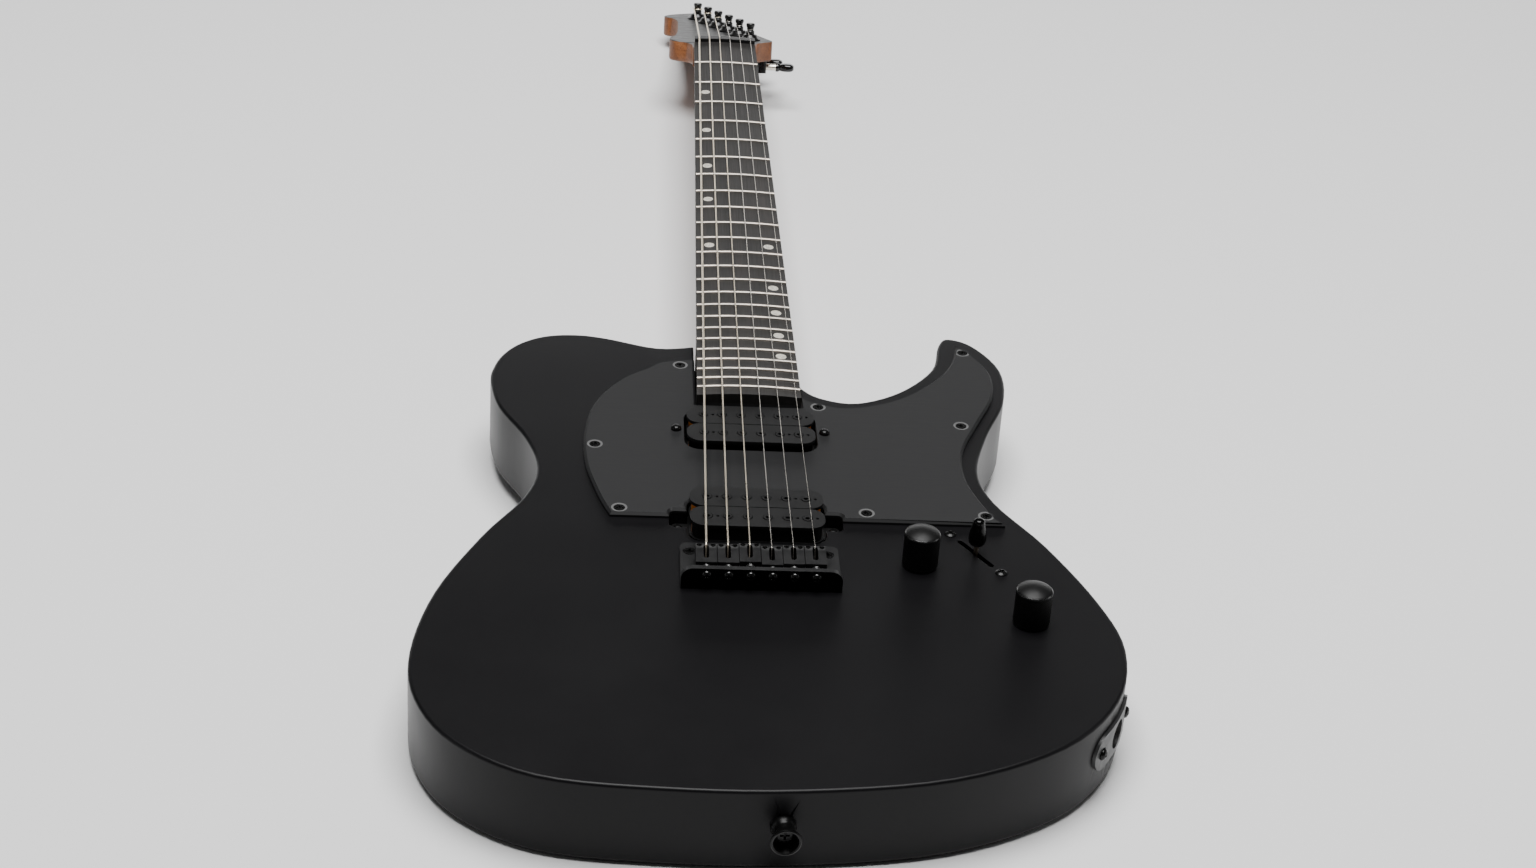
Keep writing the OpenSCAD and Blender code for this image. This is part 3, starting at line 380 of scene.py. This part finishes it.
def soften(bm, width):
    """Rounds the sharp edges by width millimetres."""
    edges = [e for e in bm.edges if len(e.link_faces) == 2
             and e.calc_face_angle(0) > math.radians(SHARP_EDGE)]
    bmesh.ops.bevel(bm, geom=edges, offset=width * MM, segments=2, profile=0.5,
                    affect="EDGES", clamp_overlap=True)


def bevelled(name, node, look, width):
    """The CAD shape with its edges rounded by width millimetres."""
    bm = cad_copy(node)
    join_flats(bm)
    soften(bm, width)
    return piece(name, bm, node, look)


def chains(edges):
    """Closed loops of vertices along a set of edges."""
    nexts = {}
    for e in edges:
        for a, b in (e.verts, reversed(e.verts)):
            nexts.setdefault(a, []).append(b)
    loops, seen = [], set()
    for start in nexts:
        if start in seen:
            continue
        loop, last, here = [start], None, start
        seen.add(start)
        while True:
            step = [v for v in nexts[here] if v is not last and (v not in seen or v is start)]
            if not step or (step[0] is start and len(loop) > 2):
                break
            last, here = here, step[0]
            loop.append(here)
            seen.add(here)
        loops.append(loop)
    return loops


def area(loop):
    """Area inside a loop, seen from above: negative if it runs clockwise."""
    return sum(a.co.x * b.co.y - b.co.x * a.co.y for a, b in zip(loop, loop[1:] + loop[:1])) / 2


def round_cap(bm, z, up, outer, inner, steps=1, chamfer=False, ring=None):
    """Rounds the rims of the flat face at height z, whose normal points up (1) or down (-1).

    outer and inner are the radii, in metres, at the outline and at the holes. ring is (largest
    hole, width, drop): holes up to that radius get a sloped ring in the second material."""
    caps = [f for f in bm.faces if f.normal.z * up > 0.999
            and all(abs(v.co.z - z) < FLAT for v in f.verts)]
    inside = set(caps)
    rim = [e for e in {e for f in caps for e in f.edges}
           if sum(f in inside for f in e.link_faces) == 1]
    bmesh.ops.delete(bm, geom=caps, context="FACES_ONLY")
    bmesh.ops.delete(bm, geom=[e for e in bm.edges if not e.link_faces], context="EDGES")
    loops = chains([e for e in rim if e.is_valid])
    loops = [p if (area(p) > 0) == (k == 0) else p[::-1]
             for k, p in enumerate(sorted(loops, key=lambda p: -abs(area(p))))]
    last_edges = []
    for k, loop in enumerate(loops):
        r = outer if k == 0 else inner
        n = len(loop)
        ringed = ring and abs(area(loop)) < math.pi * ring[0] ** 2
        miter = []
        for i in range(n):
            a, b, c = (loop[(i + d) % n].co.xy for d in (-1, 0, 1))
            n1 = (b - a).normalized()
            n2 = (c - b).normalized()
            n1, n2 = Vector((-n1.y, n1.x)), Vector((-n2.y, n2.x))
            m = n1 + n2
            miter.append(m / max(1.0 + n1.dot(n2), 0.6))
        last = loop
        for v in loop:
            v.co.z = z - up * (ring[2] if ringed else r)
        base = [v.co.copy() for v in loop]
        count = 1 if chamfer or ringed else steps
        for s in range(1, count + 1):
            t = s / count * math.pi / 2
            back = r if chamfer else r * (1 - math.cos(t))
            rise = r if chamfer else r * math.sin(t)
            if ringed:
                back, rise = ring[1:]
            fresh = [bm.verts.new((b.x + m.x * back, b.y + m.y * back, b.z + up * rise))
                     for b, m in zip(base, miter)]
            for i in range(n):
                j = (i + 1) % n
                quad = (last[i], last[j], fresh[j], fresh[i])
                face = bm.faces.new(quad if up > 0 else quad[::-1])
                face.material_index = int(bool(ringed))
            last = fresh
        last_edges += [bm.edges.get((last[i], last[(i + 1) % n])) for i in range(n)]
    bmesh.ops.triangle_fill(bm, use_beauty=True, use_dissolve=False, edges=last_edges,
                            normal=(0, 0, up))
    bmesh.ops.recalc_face_normals(bm, faces=bm.faces)


def lathe(bm, profile, segments, at, groove=None):
    """Turns a profile of (radius, height) points in millimetres about the Z of at.

    groove(angle, height) is how far the surface sinks at a point. Returns each band's faces."""
    rings = []
    for r, h in profile:
        if r < 0.001:
            rings.append([bm.verts.new(at @ Vector((0, 0, h * MM)))])
            continue
        ring = []
        for s in range(segments):
            a = 2 * math.pi * s / segments
            d = (r - (groove(a, h) if groove else 0.0)) * MM
            ring.append(bm.verts.new(at @ Vector((d * math.cos(a), d * math.sin(a), h * MM))))
        rings.append(ring)
    bands = []
    for a, b in zip(rings, rings[1:]):
        band = []
        for s in range(segments):
            t = (s + 1) % segments
            if len(a) == 1:
                band.append(bm.faces.new((a[0], b[t], b[s])))
            elif len(b) == 1:
                band.append(bm.faces.new((a[s], a[t], b[0])))
            else:
                band.append(bm.faces.new((a[s], a[t], b[t], b[s])))
        bands.append(band)
    return bands


def flowing(points, steps):
    """Catmull-Rom curve through profile points, with steps points to each stretch."""
    out = []
    for i in range(len(points) - 1):
        a, b, c, d = (points[min(max(i + k, 0), len(points) - 1)] for k in (-1, 0, 1, 2))
        for k in range(steps):
            t = k / steps
            out.append(tuple(0.5 * (2 * q + (r - p) * t + (2 * p - 5 * q + 4 * r - s) * t * t
                                    + (3 * q - p - 3 * r + s) * t ** 3)
                             for p, q, r, s in zip(a, b, c, d)))
    return out + [points[-1]]


def tube(bm, points, radius, sides):
    """A round tube along points, with closed ends. All is in metres."""
    pts = [Vector(p) for p in points]
    side = Vector((1, 0, 0))
    rings = []
    for i, p in enumerate(pts):
        d = (pts[min(i + 1, len(pts) - 1)] - pts[max(i - 1, 0)]).normalized()
        side = (side - d * side.dot(d)).normalized()
        up = d.cross(side)
        rings.append([bm.verts.new(p + radius * (math.cos(a) * side + math.sin(a) * up))
                      for a in (2 * math.pi * k / sides for k in range(sides))])
    for a, b in zip(rings, rings[1:]):
        for k in range(sides):
            j = (k + 1) % sides
            bm.faces.new((a[k], a[j], b[j], b[k]))
    bm.faces.new(rings[0][::-1])
    bm.faces.new(rings[-1])


# ---- camera, floor and light ----

# The photographer's place and aim, in the frame of the CAD
EYE = Vector((-0.0881, -1.1566, 0.7990))
LOOK = Vector((0.0655, 0.8602, -0.5057)).normalized()
RIGHT = Vector((0.9974, -0.0404, 0.0604))
LENS = 65.13                    # mm, on a 36 mm sensor
FLOOR_GAP = 0.4 * MM
FLOOR_HALF = 6.0
WORLD_STRENGTH = 0.05
# Soft boxes: name, place, target, size in metres, watts
LIGHTS = (("top", (0.0, 0.1, 2.4), (0, 0.1, 0), (1.6, 1.6), 110),
          ("back", (0.1, 2.3, 0.4), (0, 0.2, 0), (3.2, 0.6), 15),
          ("left", (-1.8, -0.3, 0.6), (0, 0, 0), (0.6, 0.8), 1.5),
          ("right", (1.8, 0.1, 0.6), (0, 0, 0), (0.6, 0.8), 2))


def camera():
    """The camera at the photo's angle."""
    cam = bpy.data.objects.new("camera", bpy.data.cameras.new("camera"))
    COLLECTION.objects.link(cam)
    cam.data.lens = LENS
    cam.data.sensor_width = 36.0
    cam.data.clip_start = 0.01
    cam.matrix_world = frame_at(EYE, -LOOK, RIGHT)
    bpy.context.scene.camera = cam


def area_light(name, place, target, size, power):
    """A rectangular soft box aimed at target."""
    data = bpy.data.lights.new(name, "AREA")
    data.shape = "RECTANGLE"
    data.size, data.size_y = size
    data.energy = power
    light = bpy.data.objects.new(name, data)
    COLLECTION.objects.link(light)
    light.location = place
    light.rotation_mode = "QUATERNION"
    light.rotation_quaternion = (Vector(target) - Vector(place)).to_track_quat("-Z", "Y")


def studio():
    """A pale floor that the body's lower edge and the headstock rest on, and soft boxes."""
    tail = Vector((0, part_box("body")[0].y, 0))
    head = min((v.co for n in ("tuner_housings", "tuner_screws") for v in NODES[n].data.vertices),
               key=lambda p: (p.z - tail.z) / (p.y - tail.y))
    slope = math.atan2(tail.z - head.z, head.y - tail.y)
    bm = bmesh.new()
    bmesh.ops.create_grid(bm, x_segments=8, y_segments=8, size=FLOOR_HALF)
    mesh = bpy.data.meshes.new("floor")
    bm.to_mesh(mesh)
    bm.free()
    floor = bpy.data.objects.new("floor", mesh)
    COLLECTION.objects.link(floor)
    floor.location = tail - Vector((0, 0, FLOOR_GAP))
    floor.rotation_euler = (-slope, 0, 0)
    paper = Look("floor_paper", (0.86, 0.86, 0.86), 0.85)
    paper.bump(paper.noise(300, 3, 0.5), 0.05, 0.1)
    mesh.materials.append(paper.mat)
    world = bpy.data.worlds.new("studio")
    bpy.context.scene.world = world
    world.use_nodes = True
    sky = world.node_tree.nodes["Background"]
    sky.inputs["Color"].default_value = (1, 1, 1, 1)
    sky.inputs["Strength"].default_value = WORLD_STRENGTH
    for light in LIGHTS:
        area_light(*light)


# ---- wood, plates and plastics ----

BODY_TOP_R = 1.8 * MM           # rounding of the body's edge at the face
BODY_BACK_R = 3.7 * MM          # and at the back
GUARD_CHAMFER = 1.3 * MM
GUARD_RING = (3.3 * MM, 1.15 * MM, 0.15 * MM)   # largest hole, width and drop of the screws' rings
HOLE_R = 0.3 * MM               # rounding at small holes
HEEL_SHADE_Y = 226 * MM          # the heel's bass side gets the dark head paint as painted shade up to here
HEEL_SHADE_X = -20 * MM


def body():
    """The body: a small rounding on the face and a larger one at the back."""
    bm = cad_copy("body")
    lo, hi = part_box("body")
    round_cap(bm, hi.z, 1, BODY_TOP_R, HOLE_R, 6)
    round_cap(bm, lo.z, -1, BODY_BACK_R, HOLE_R, 8)
    piece("body_shell", bm, "body", "lacquer")


def pickguard():
    """The pickguard: a chamfered outline, and a paler ring round each screw."""
    bm = cad_copy("pickguard")
    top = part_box("pickguard")[1].z
    round_cap(bm, top, 1, GUARD_CHAMFER, 0.25 * MM, chamfer=True, ring=GUARD_RING)
    piece("guard_plate", bm, "pickguard", ["guard", "guard_ring"], sharp=25.0)


def neck():
    """Neck and headstock: edges of the head rounded; its face painted, and the heel's end and bass side given the
    same dark paint as painted shade.
    """
    head = frame_at(Vector(JOINTS["post_1_turn"]["pos_m"]), HEAD_OUT, (1, 0, 0))
    bm = cad_copy("neck")
    bm.transform(head.inverted())
    round_cap(bm, 0.0, 1, 0.9 * MM, 0.2 * MM, 3)
    round_cap(bm, -HEAD_THICK, -1, 1.6 * MM, HOLE_R, 4)
    for f in bm.faces:
        f.material_index = int(f.normal.z > 0.5 and f.calc_center_median().z > -0.8 * MM)
    bm.transform(head)
    # painted shade: the heel's end and its bass side inside the pocket take the head's dark paint
    heel_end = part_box("neck")[0].y
    for f in bm.faces:
        p = f.calc_center_median()
        shaded_bass_side = p.y < HEEL_SHADE_Y and p.x < HEEL_SHADE_X and f.normal.x < -0.9
        if p.y < heel_end + FLAT or shaded_bass_side:
            f.material_index = 1
    piece("neck_wood", bm, "neck", ["maple", "head_paint_and_heel_shade"], sharp=34.0)


# ---- strings and tuners ----

STRING_R = (0.58, 0.46, 0.33, 0.22, 0.17, 0.13)
NUT_SPREAD = 35.5               # between the outer strings at the nut
NUT_STRING_Z = 55.2 * MM
HOLE_Y = -10 * MM               # the strings' holes in the bridge plate
PLATE_Z = 46.5 * MM             # top of that plate
BALL_Z = 4 * MM                 # middle of the ball ends
BALL = [(0, -1.4), (1.6, -1.4), (1.9, -1.1), (1.9, -0.5), (1.5, 0), (1.9, 0.5), (1.9, 1.1), (1.6, 1.4),
        (0, 1.4)]
WAIST_H = 7.8                   # the post's waist above the head
WAIST_R = 2.4


def string(bm, i):
    """String i from its ball end to its wrap round the post."""
    r = STRING_R[i]
    lo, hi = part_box(f"saddle_{i + 1}")
    x, y = (lo.x + hi.x) / 2, hi.y - 2 * MM
    z = hi.z + (0.3 + r) * MM
    nut_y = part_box("nut")[0].y
    nut_x = (i / 5 - 0.5) * NUT_SPREAD * MM
    path = [(x, HOLE_Y, BALL_Z + MM), (x, HOLE_Y, PLATE_Z - 0.2 * MM),
            (x, HOLE_Y + 0.15 * MM, PLATE_Z + 0.5 * MM), (x, HOLE_Y + 0.7 * MM, PLATE_Z + 1.4 * MM),
            (x, y - 1.2 * MM, z - 1.1 * MM), (x, y - 0.8 * MM, z - 0.6 * MM),
            (x, y - 0.3 * MM, z - 0.15 * MM), (x, y + 0.4 * MM, z)]
    end = Vector((nut_x, nut_y, NUT_STRING_Z))
    start = Vector(path[-1])
    path += [start.lerp(end, k / 12) for k in range(1, 13)]
    path.append((nut_x, nut_y + 4.6 * MM, NUT_STRING_Z - 0.05 * MM))
    post = frame_at(JOINTS[f"post_{i + 1}_turn"]["pos_m"], HEAD_OUT, (1, 0, 0))
    wrap = WAIST_R + r + 0.02
    for k in range(32):
        a = math.radians(180 - 10 * k)
        h = WAIST_H + 0.3 - 0.02 * k
        path.append(post @ (Vector((wrap * math.cos(a), wrap * math.sin(a), h)) * MM))
    tube(bm, path, r * MM, 14 if r > 0.3 else 10)
    lathe(bm, BALL, 24, frame_at((x, HOLE_Y, BALL_Z), (1, 0, 0), (0, 1, 0)))


def strings():
    """Three wound strings in one piece and three plain ones in another."""
    for name, node, look, which in (("wound_set", "wound_strings", "wound", range(3)),
                                    ("plain_set", "plain_strings", "steel", range(3, 6))):
        bm = bmesh.new()
        for i in which:
            string(bm, i)
        bmesh.ops.recalc_face_normals(bm, faces=bm.faces)
        piece(name, bm, node, look, sharp=50.0)


BUTTON_X = 26                   # the button's middle along its shaft
BUTTON_SHAPE = [(-2.5, -4), (2.5, -4), (4.9, 0.5), (4.6, 5.2), (0, 6.7), (-4.6, 5.2), (-4.9, 0.5)]
BUTTON_SWELL = 1.4              # where the button is thickest, from its middle
BUTTON_HALF = 3.0               # half its thickness
BUTTON_LAYERS = 16
SHAFT = [(0, 4.5), (1.5, 4.5), (1.8, 4.8), (1.8, 11.6), (2.1, 11.9), (2.3, 12.2), (2.3, 19.4), (2.9, 19.4),
         (3.2, 19.7), (3.2, 20.9), (3.1, 21.3), (2.5, 22.6), (2.1, 23.2), (0, 23.4)]
BRIGHT_BANDS = slice(5, 7)      # the stretch of the shaft that is left in nickel


def tuner_button(i):
    """Button i: a pillow on a collared shaft."""
    node = f"tuner_button_{i}"
    at = frame_at(JOINTS[f"button_{i}_turn"]["pos_m"], (1, 0, 0), -HEAD_OUT)
    bm = bmesh.new()
    bands = lathe(bm, SHAFT, 40, at)
    for band in bands[BRIGHT_BANDS]:
        for f in band:
            f.material_index = 1
    edge = flowing(BUTTON_SHAPE[-1:] + BUTTON_SHAPE + BUTTON_SHAPE[:2], 6)[6:-7]
    rings = []
    for k in range(BUTTON_LAYERS + 1):
        t = -math.cos(math.pi * k / BUTTON_LAYERS)
        shrink = max(1 - abs(t) ** 3.2, 0.0) ** (1 / 2.6)
        outline = [(0, BUTTON_SWELL)] if k in (0, BUTTON_LAYERS) else edge
        rings.append([bm.verts.new(at @ (Vector((t * BUTTON_HALF, px * shrink, BUTTON_X + BUTTON_SWELL
                                                 + (py - BUTTON_SWELL) * shrink)) * MM))
                      for px, py in outline])
    n = len(edge)
    for a, b in zip(rings, rings[1:]):
        for k in range(n):
            j = (k + 1) % n
            if len(a) == 1:
                bm.faces.new((a[0], b[k], b[j]))
            elif len(b) == 1:
                bm.faces.new((a[k], a[j], b[0]))
            else:
                bm.faces.new((a[k], a[j], b[j], b[k]))
    bmesh.ops.recalc_face_normals(bm, faces=bm.faces)
    piece(f"button_{i}_pillow", bm, node, ["gloss", "nickel"], sharp=50.0)


# ---- controls, springs and pickups ----

KNOB_R = 9.0
DOME_RISE = 2.2                 # height of the knob's dome
DOME_SUNK = 1.8                 # its foot is this far below the knob's nominal height
KNOB_H = (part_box("volume_knob")[1].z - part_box("volume_knob")[0].z) / MM - DOME_RISE + DOME_SUNK
KNOB_SLICE = 0.32               # height of one band of the knurl's mesh
DOME_STEPS = 10
KNURL_FROM, KNURL_SHORT = 1.2, 3.2      # the grooves' lower end, and their gap to the nominal height
GROOVES = 44                    # diagonal grooves each way round a knob
GROOVE_RISE = 4.2               # phase of the grooves per millimetre of height, in radians
GROOVE_DEEP = 0.24


def knurl(angle, h):
    """Depth of the two crossing sets of grooves, in millimetres."""
    if not KNURL_FROM < h < KNOB_H - KNURL_SHORT:
        return 0.0
    ways = (math.cos(GROOVES * angle + w * GROOVE_RISE * h) for w in (-1, 1))
    return GROOVE_DEEP * max(max(c, 0.0) ** 3 for c in ways)


def knob(name, node, joint):
    """A hollow knob with a knurled side, a bright rim and a low dome."""
    x, y, _ = JOINTS[joint]["pos_m"]
    at = frame_at((x, y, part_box(node)[0].z), (0, 0, 1), (1, 0, 0))
    rim = KNOB_R - 0.6
    side = [(KNOB_R, 0.5 + KNOB_SLICE * k) for k in range(int((KNOB_H - 3.1) / KNOB_SLICE))]
    foot = KNOB_H - DOME_SUNK
    dome = [(rim * (1 - k / DOME_STEPS), foot + DOME_RISE * (1 - (1 - k / DOME_STEPS) ** 2))
            for k in range(DOME_STEPS + 1)]
    profile = [(0, KNOB_H - 3.5), (3, KNOB_H - 3.5), (3, 5), (7, 5), (7, 0), (KNOB_R - 0.45, 0),
               (KNOB_R - 0.15, 0.12)] + side + [(KNOB_R, foot - 0.75), (KNOB_R - 0.08, foot - 0.6)] + dome
    bm = bmesh.new()
    bands = lathe(bm, profile, 264, at, knurl)
    for f in bands[len(profile) - len(dome) - 1]:
        f.material_index = 1
    bmesh.ops.recalc_face_normals(bm, faces=bm.faces)
    piece(name, bm, node, ["knob", "knob_ring"], sharp=60.0)


# The egg-shaped tip: radius in millimetres, and height as a share of the whole
EGG = [(2.6, 0.003), (3.6, 0.05), (4.25, 0.14), (4.53, 0.27), (4.33, 0.41), (3.9, 0.57), (3.4, 0.73),
       (3.05, 0.86), (2.6, 0.945), (1.6, 0.987), (0, 1)]


def switch_tip():
    """The selector's tip."""
    lo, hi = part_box("switch_tip")
    c = (lo + hi) / 2
    at = frame_at((c.x, c.y, lo.z), (0, 0, 1), (1, 0, 0))
    bm = bmesh.new()
    h = (hi.z - lo.z) / MM
    side = [(r, h * k) for r, k in flowing(EGG, 4)[:-1]]
    lathe(bm, [(0, 0), (2.2, 0)] + side + [(0, h)], 56, at)
    bmesh.ops.recalc_face_normals(bm, faces=bm.faces)
    piece("switch_egg", bm, "switch_tip", "tip", sharp=60.0)


def bridge():
    """The folded plate; its upright rear wall faces away from the light, so it gets a darker, duller copy of the
    coat as painted shade.
    """
    obj = bevelled("bridge_plate_piece", "bridge_plate", ["coat", "wall"], 0.35)
    for p in obj.data.polygons:
        # painted shade: faces turned towards -Y (the rear wall) get the darker coat
        p.material_index = int(p.normal.y < -0.5)


SPRING_TURNS = 3.5
SPRING_R = 2.2 * MM
SPRING_WIRE = 0.28 * MM         # radius of the wire
SPRING_BACK_Y = -20.7 * MM      # the springs' rear ends, at the plate's wall
TURN_STEPS = 16


def springs():
    """A coil spring between the plate's wall and each saddle at rest."""
    bm = bmesh.new()
    screw_z = centre("intonation_springs").z
    for i in STRINGS:
        lo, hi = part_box(f"saddle_{i + 1}")
        x, length = (lo.x + hi.x) / 2, lo.y - 0.6 * MM - SPRING_BACK_Y
        steps = int(SPRING_TURNS * TURN_STEPS)
        path = []
        for k in range(steps + 1):
            a = 2 * math.pi * k / TURN_STEPS
            path.append((x + SPRING_R * math.cos(a), SPRING_BACK_Y + length * k / steps,
                         screw_z + SPRING_R * math.sin(a)))
        tube(bm, path, SPRING_WIRE, 8)
    bmesh.ops.recalc_face_normals(bm, faces=bm.faces)
    piece("spring_coils", bm, "intonation_springs", "dark_spring", sharp=50.0)


PICKUP_Y = (125.8 * MM, 38.7 * MM)      # middles of the neck and bridge pickups
BARE_X, BARE_Y = 26.5 * MM, 9 * MM      # copper shows beyond this X and within this Y of a middle


def coils():
    """Taped coils. The copper shows at the ends, beside the seam."""
    bm = cad_copy("pickup_coils")
    for f in bm.faces:
        p = f.calc_center_median()
        off = min(abs(p.y - y) for y in PICKUP_Y)
        bare = abs(p.x) > BARE_X and off < BARE_Y and abs(f.normal.z) < 0.5
        f.material_index = int(bare)
    piece("coil_wraps", bm, "pickup_coils", ["tape", "copper"])


SET_SCREW_X, SET_SCREW_Y = 3.4 * MM, 2.1 * MM   # from the saddle's middle and from its front
SET_SCREW_R = 1.225 * MM


def saddles():
    """Saddle blocks with their two height screws in a shinier finish."""
    for i in STRINGS:
        node = f"saddle_{i + 1}"
        bm = cad_copy(node)
        lo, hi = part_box(node)
        x, y = (lo.x + hi.x) / 2, hi.y - SET_SCREW_Y
        join_flats(bm)

        def on_screw(v):
            away = (math.hypot(v.co.x - x - s * SET_SCREW_X, v.co.y - y) for s in (-1, 1))
            return min(away) < SET_SCREW_R

        for f in bm.faces:
            f.material_index = int(all(on_screw(v) for v in f.verts))
        soften(bm, 0.22)
        piece(node + "_block", bm, node, ["coat", "set_screw"])


# Pieces that are the CAD shape with rounded edges: look, and rounding in millimetres
PLAIN = {
    "control_cover": ("cover", 0.3), "fretboard": ("ebony", 0.15), "frets": ("fret", 0.12),
    "nut": ("nut", 0.25), "inlay_dots": ("pearl", 0.05), "truss_rod": ("steel", 0.2),
    "neck_bolts": ("screw", 0.2), "neck_ferrules": ("coat", 0.4), "bridge_screws": ("screw", 0.1),
    "cover_screws": ("screw", 0.1), "intonation_screws": ("gloss", 0.1), "string_ferrules": ("coat", 0.3),
    "tuner_housings": ("tuner", 0.6), "tuner_bushings": ("tuner", 0.15), "tuner_screws": ("screw", 0.1),
    "pickup_bobbins": ("bobbin", 0.35), "pickup_baseplates": ("tape", 0.2),
    "pickup_magnets": ("magnet", 0.3), "pickup_poles": ("bobbin", 0.12),
    "pickup_screws": ("screw", 0.1), "volume_shaft": ("steel", 0.2),
    "tone_shaft": ("steel", 0.2), "pots": ("zinc", 0.3), "switch_body": ("zinc", 0.2),
    "switch_lever": ("brass", 0.15), "switch_screws": ("screw", 0.1), "jack_plate": ("plate", 0.3),
    "output_jack": ("nickel", 0.2), "jack_plate_screws": ("screw", 0.1), "strap_buttons": ("button", 0.2),
    "strap_button_screws": ("screw", 0.1), **{f"tuner_post_{i + 1}": ("tuner", 0.15) for i in STRINGS},
}


def main():
    """Sets the stage and builds every piece."""
    camera()
    studio()
    body()
    pickguard()
    neck()
    for i in STRINGS:
        tuner_button(i + 1)
    for node, (look, width) in PLAIN.items():
        bevelled(node + "_piece", node, look, width)
    bridge()
    saddles()
    springs()
    coils()
    strings()
    knob("volume_cap", "volume_knob", "volume_turn")
    knob("tone_cap", "tone_knob", "tone_turn")
    switch_tip()


main()
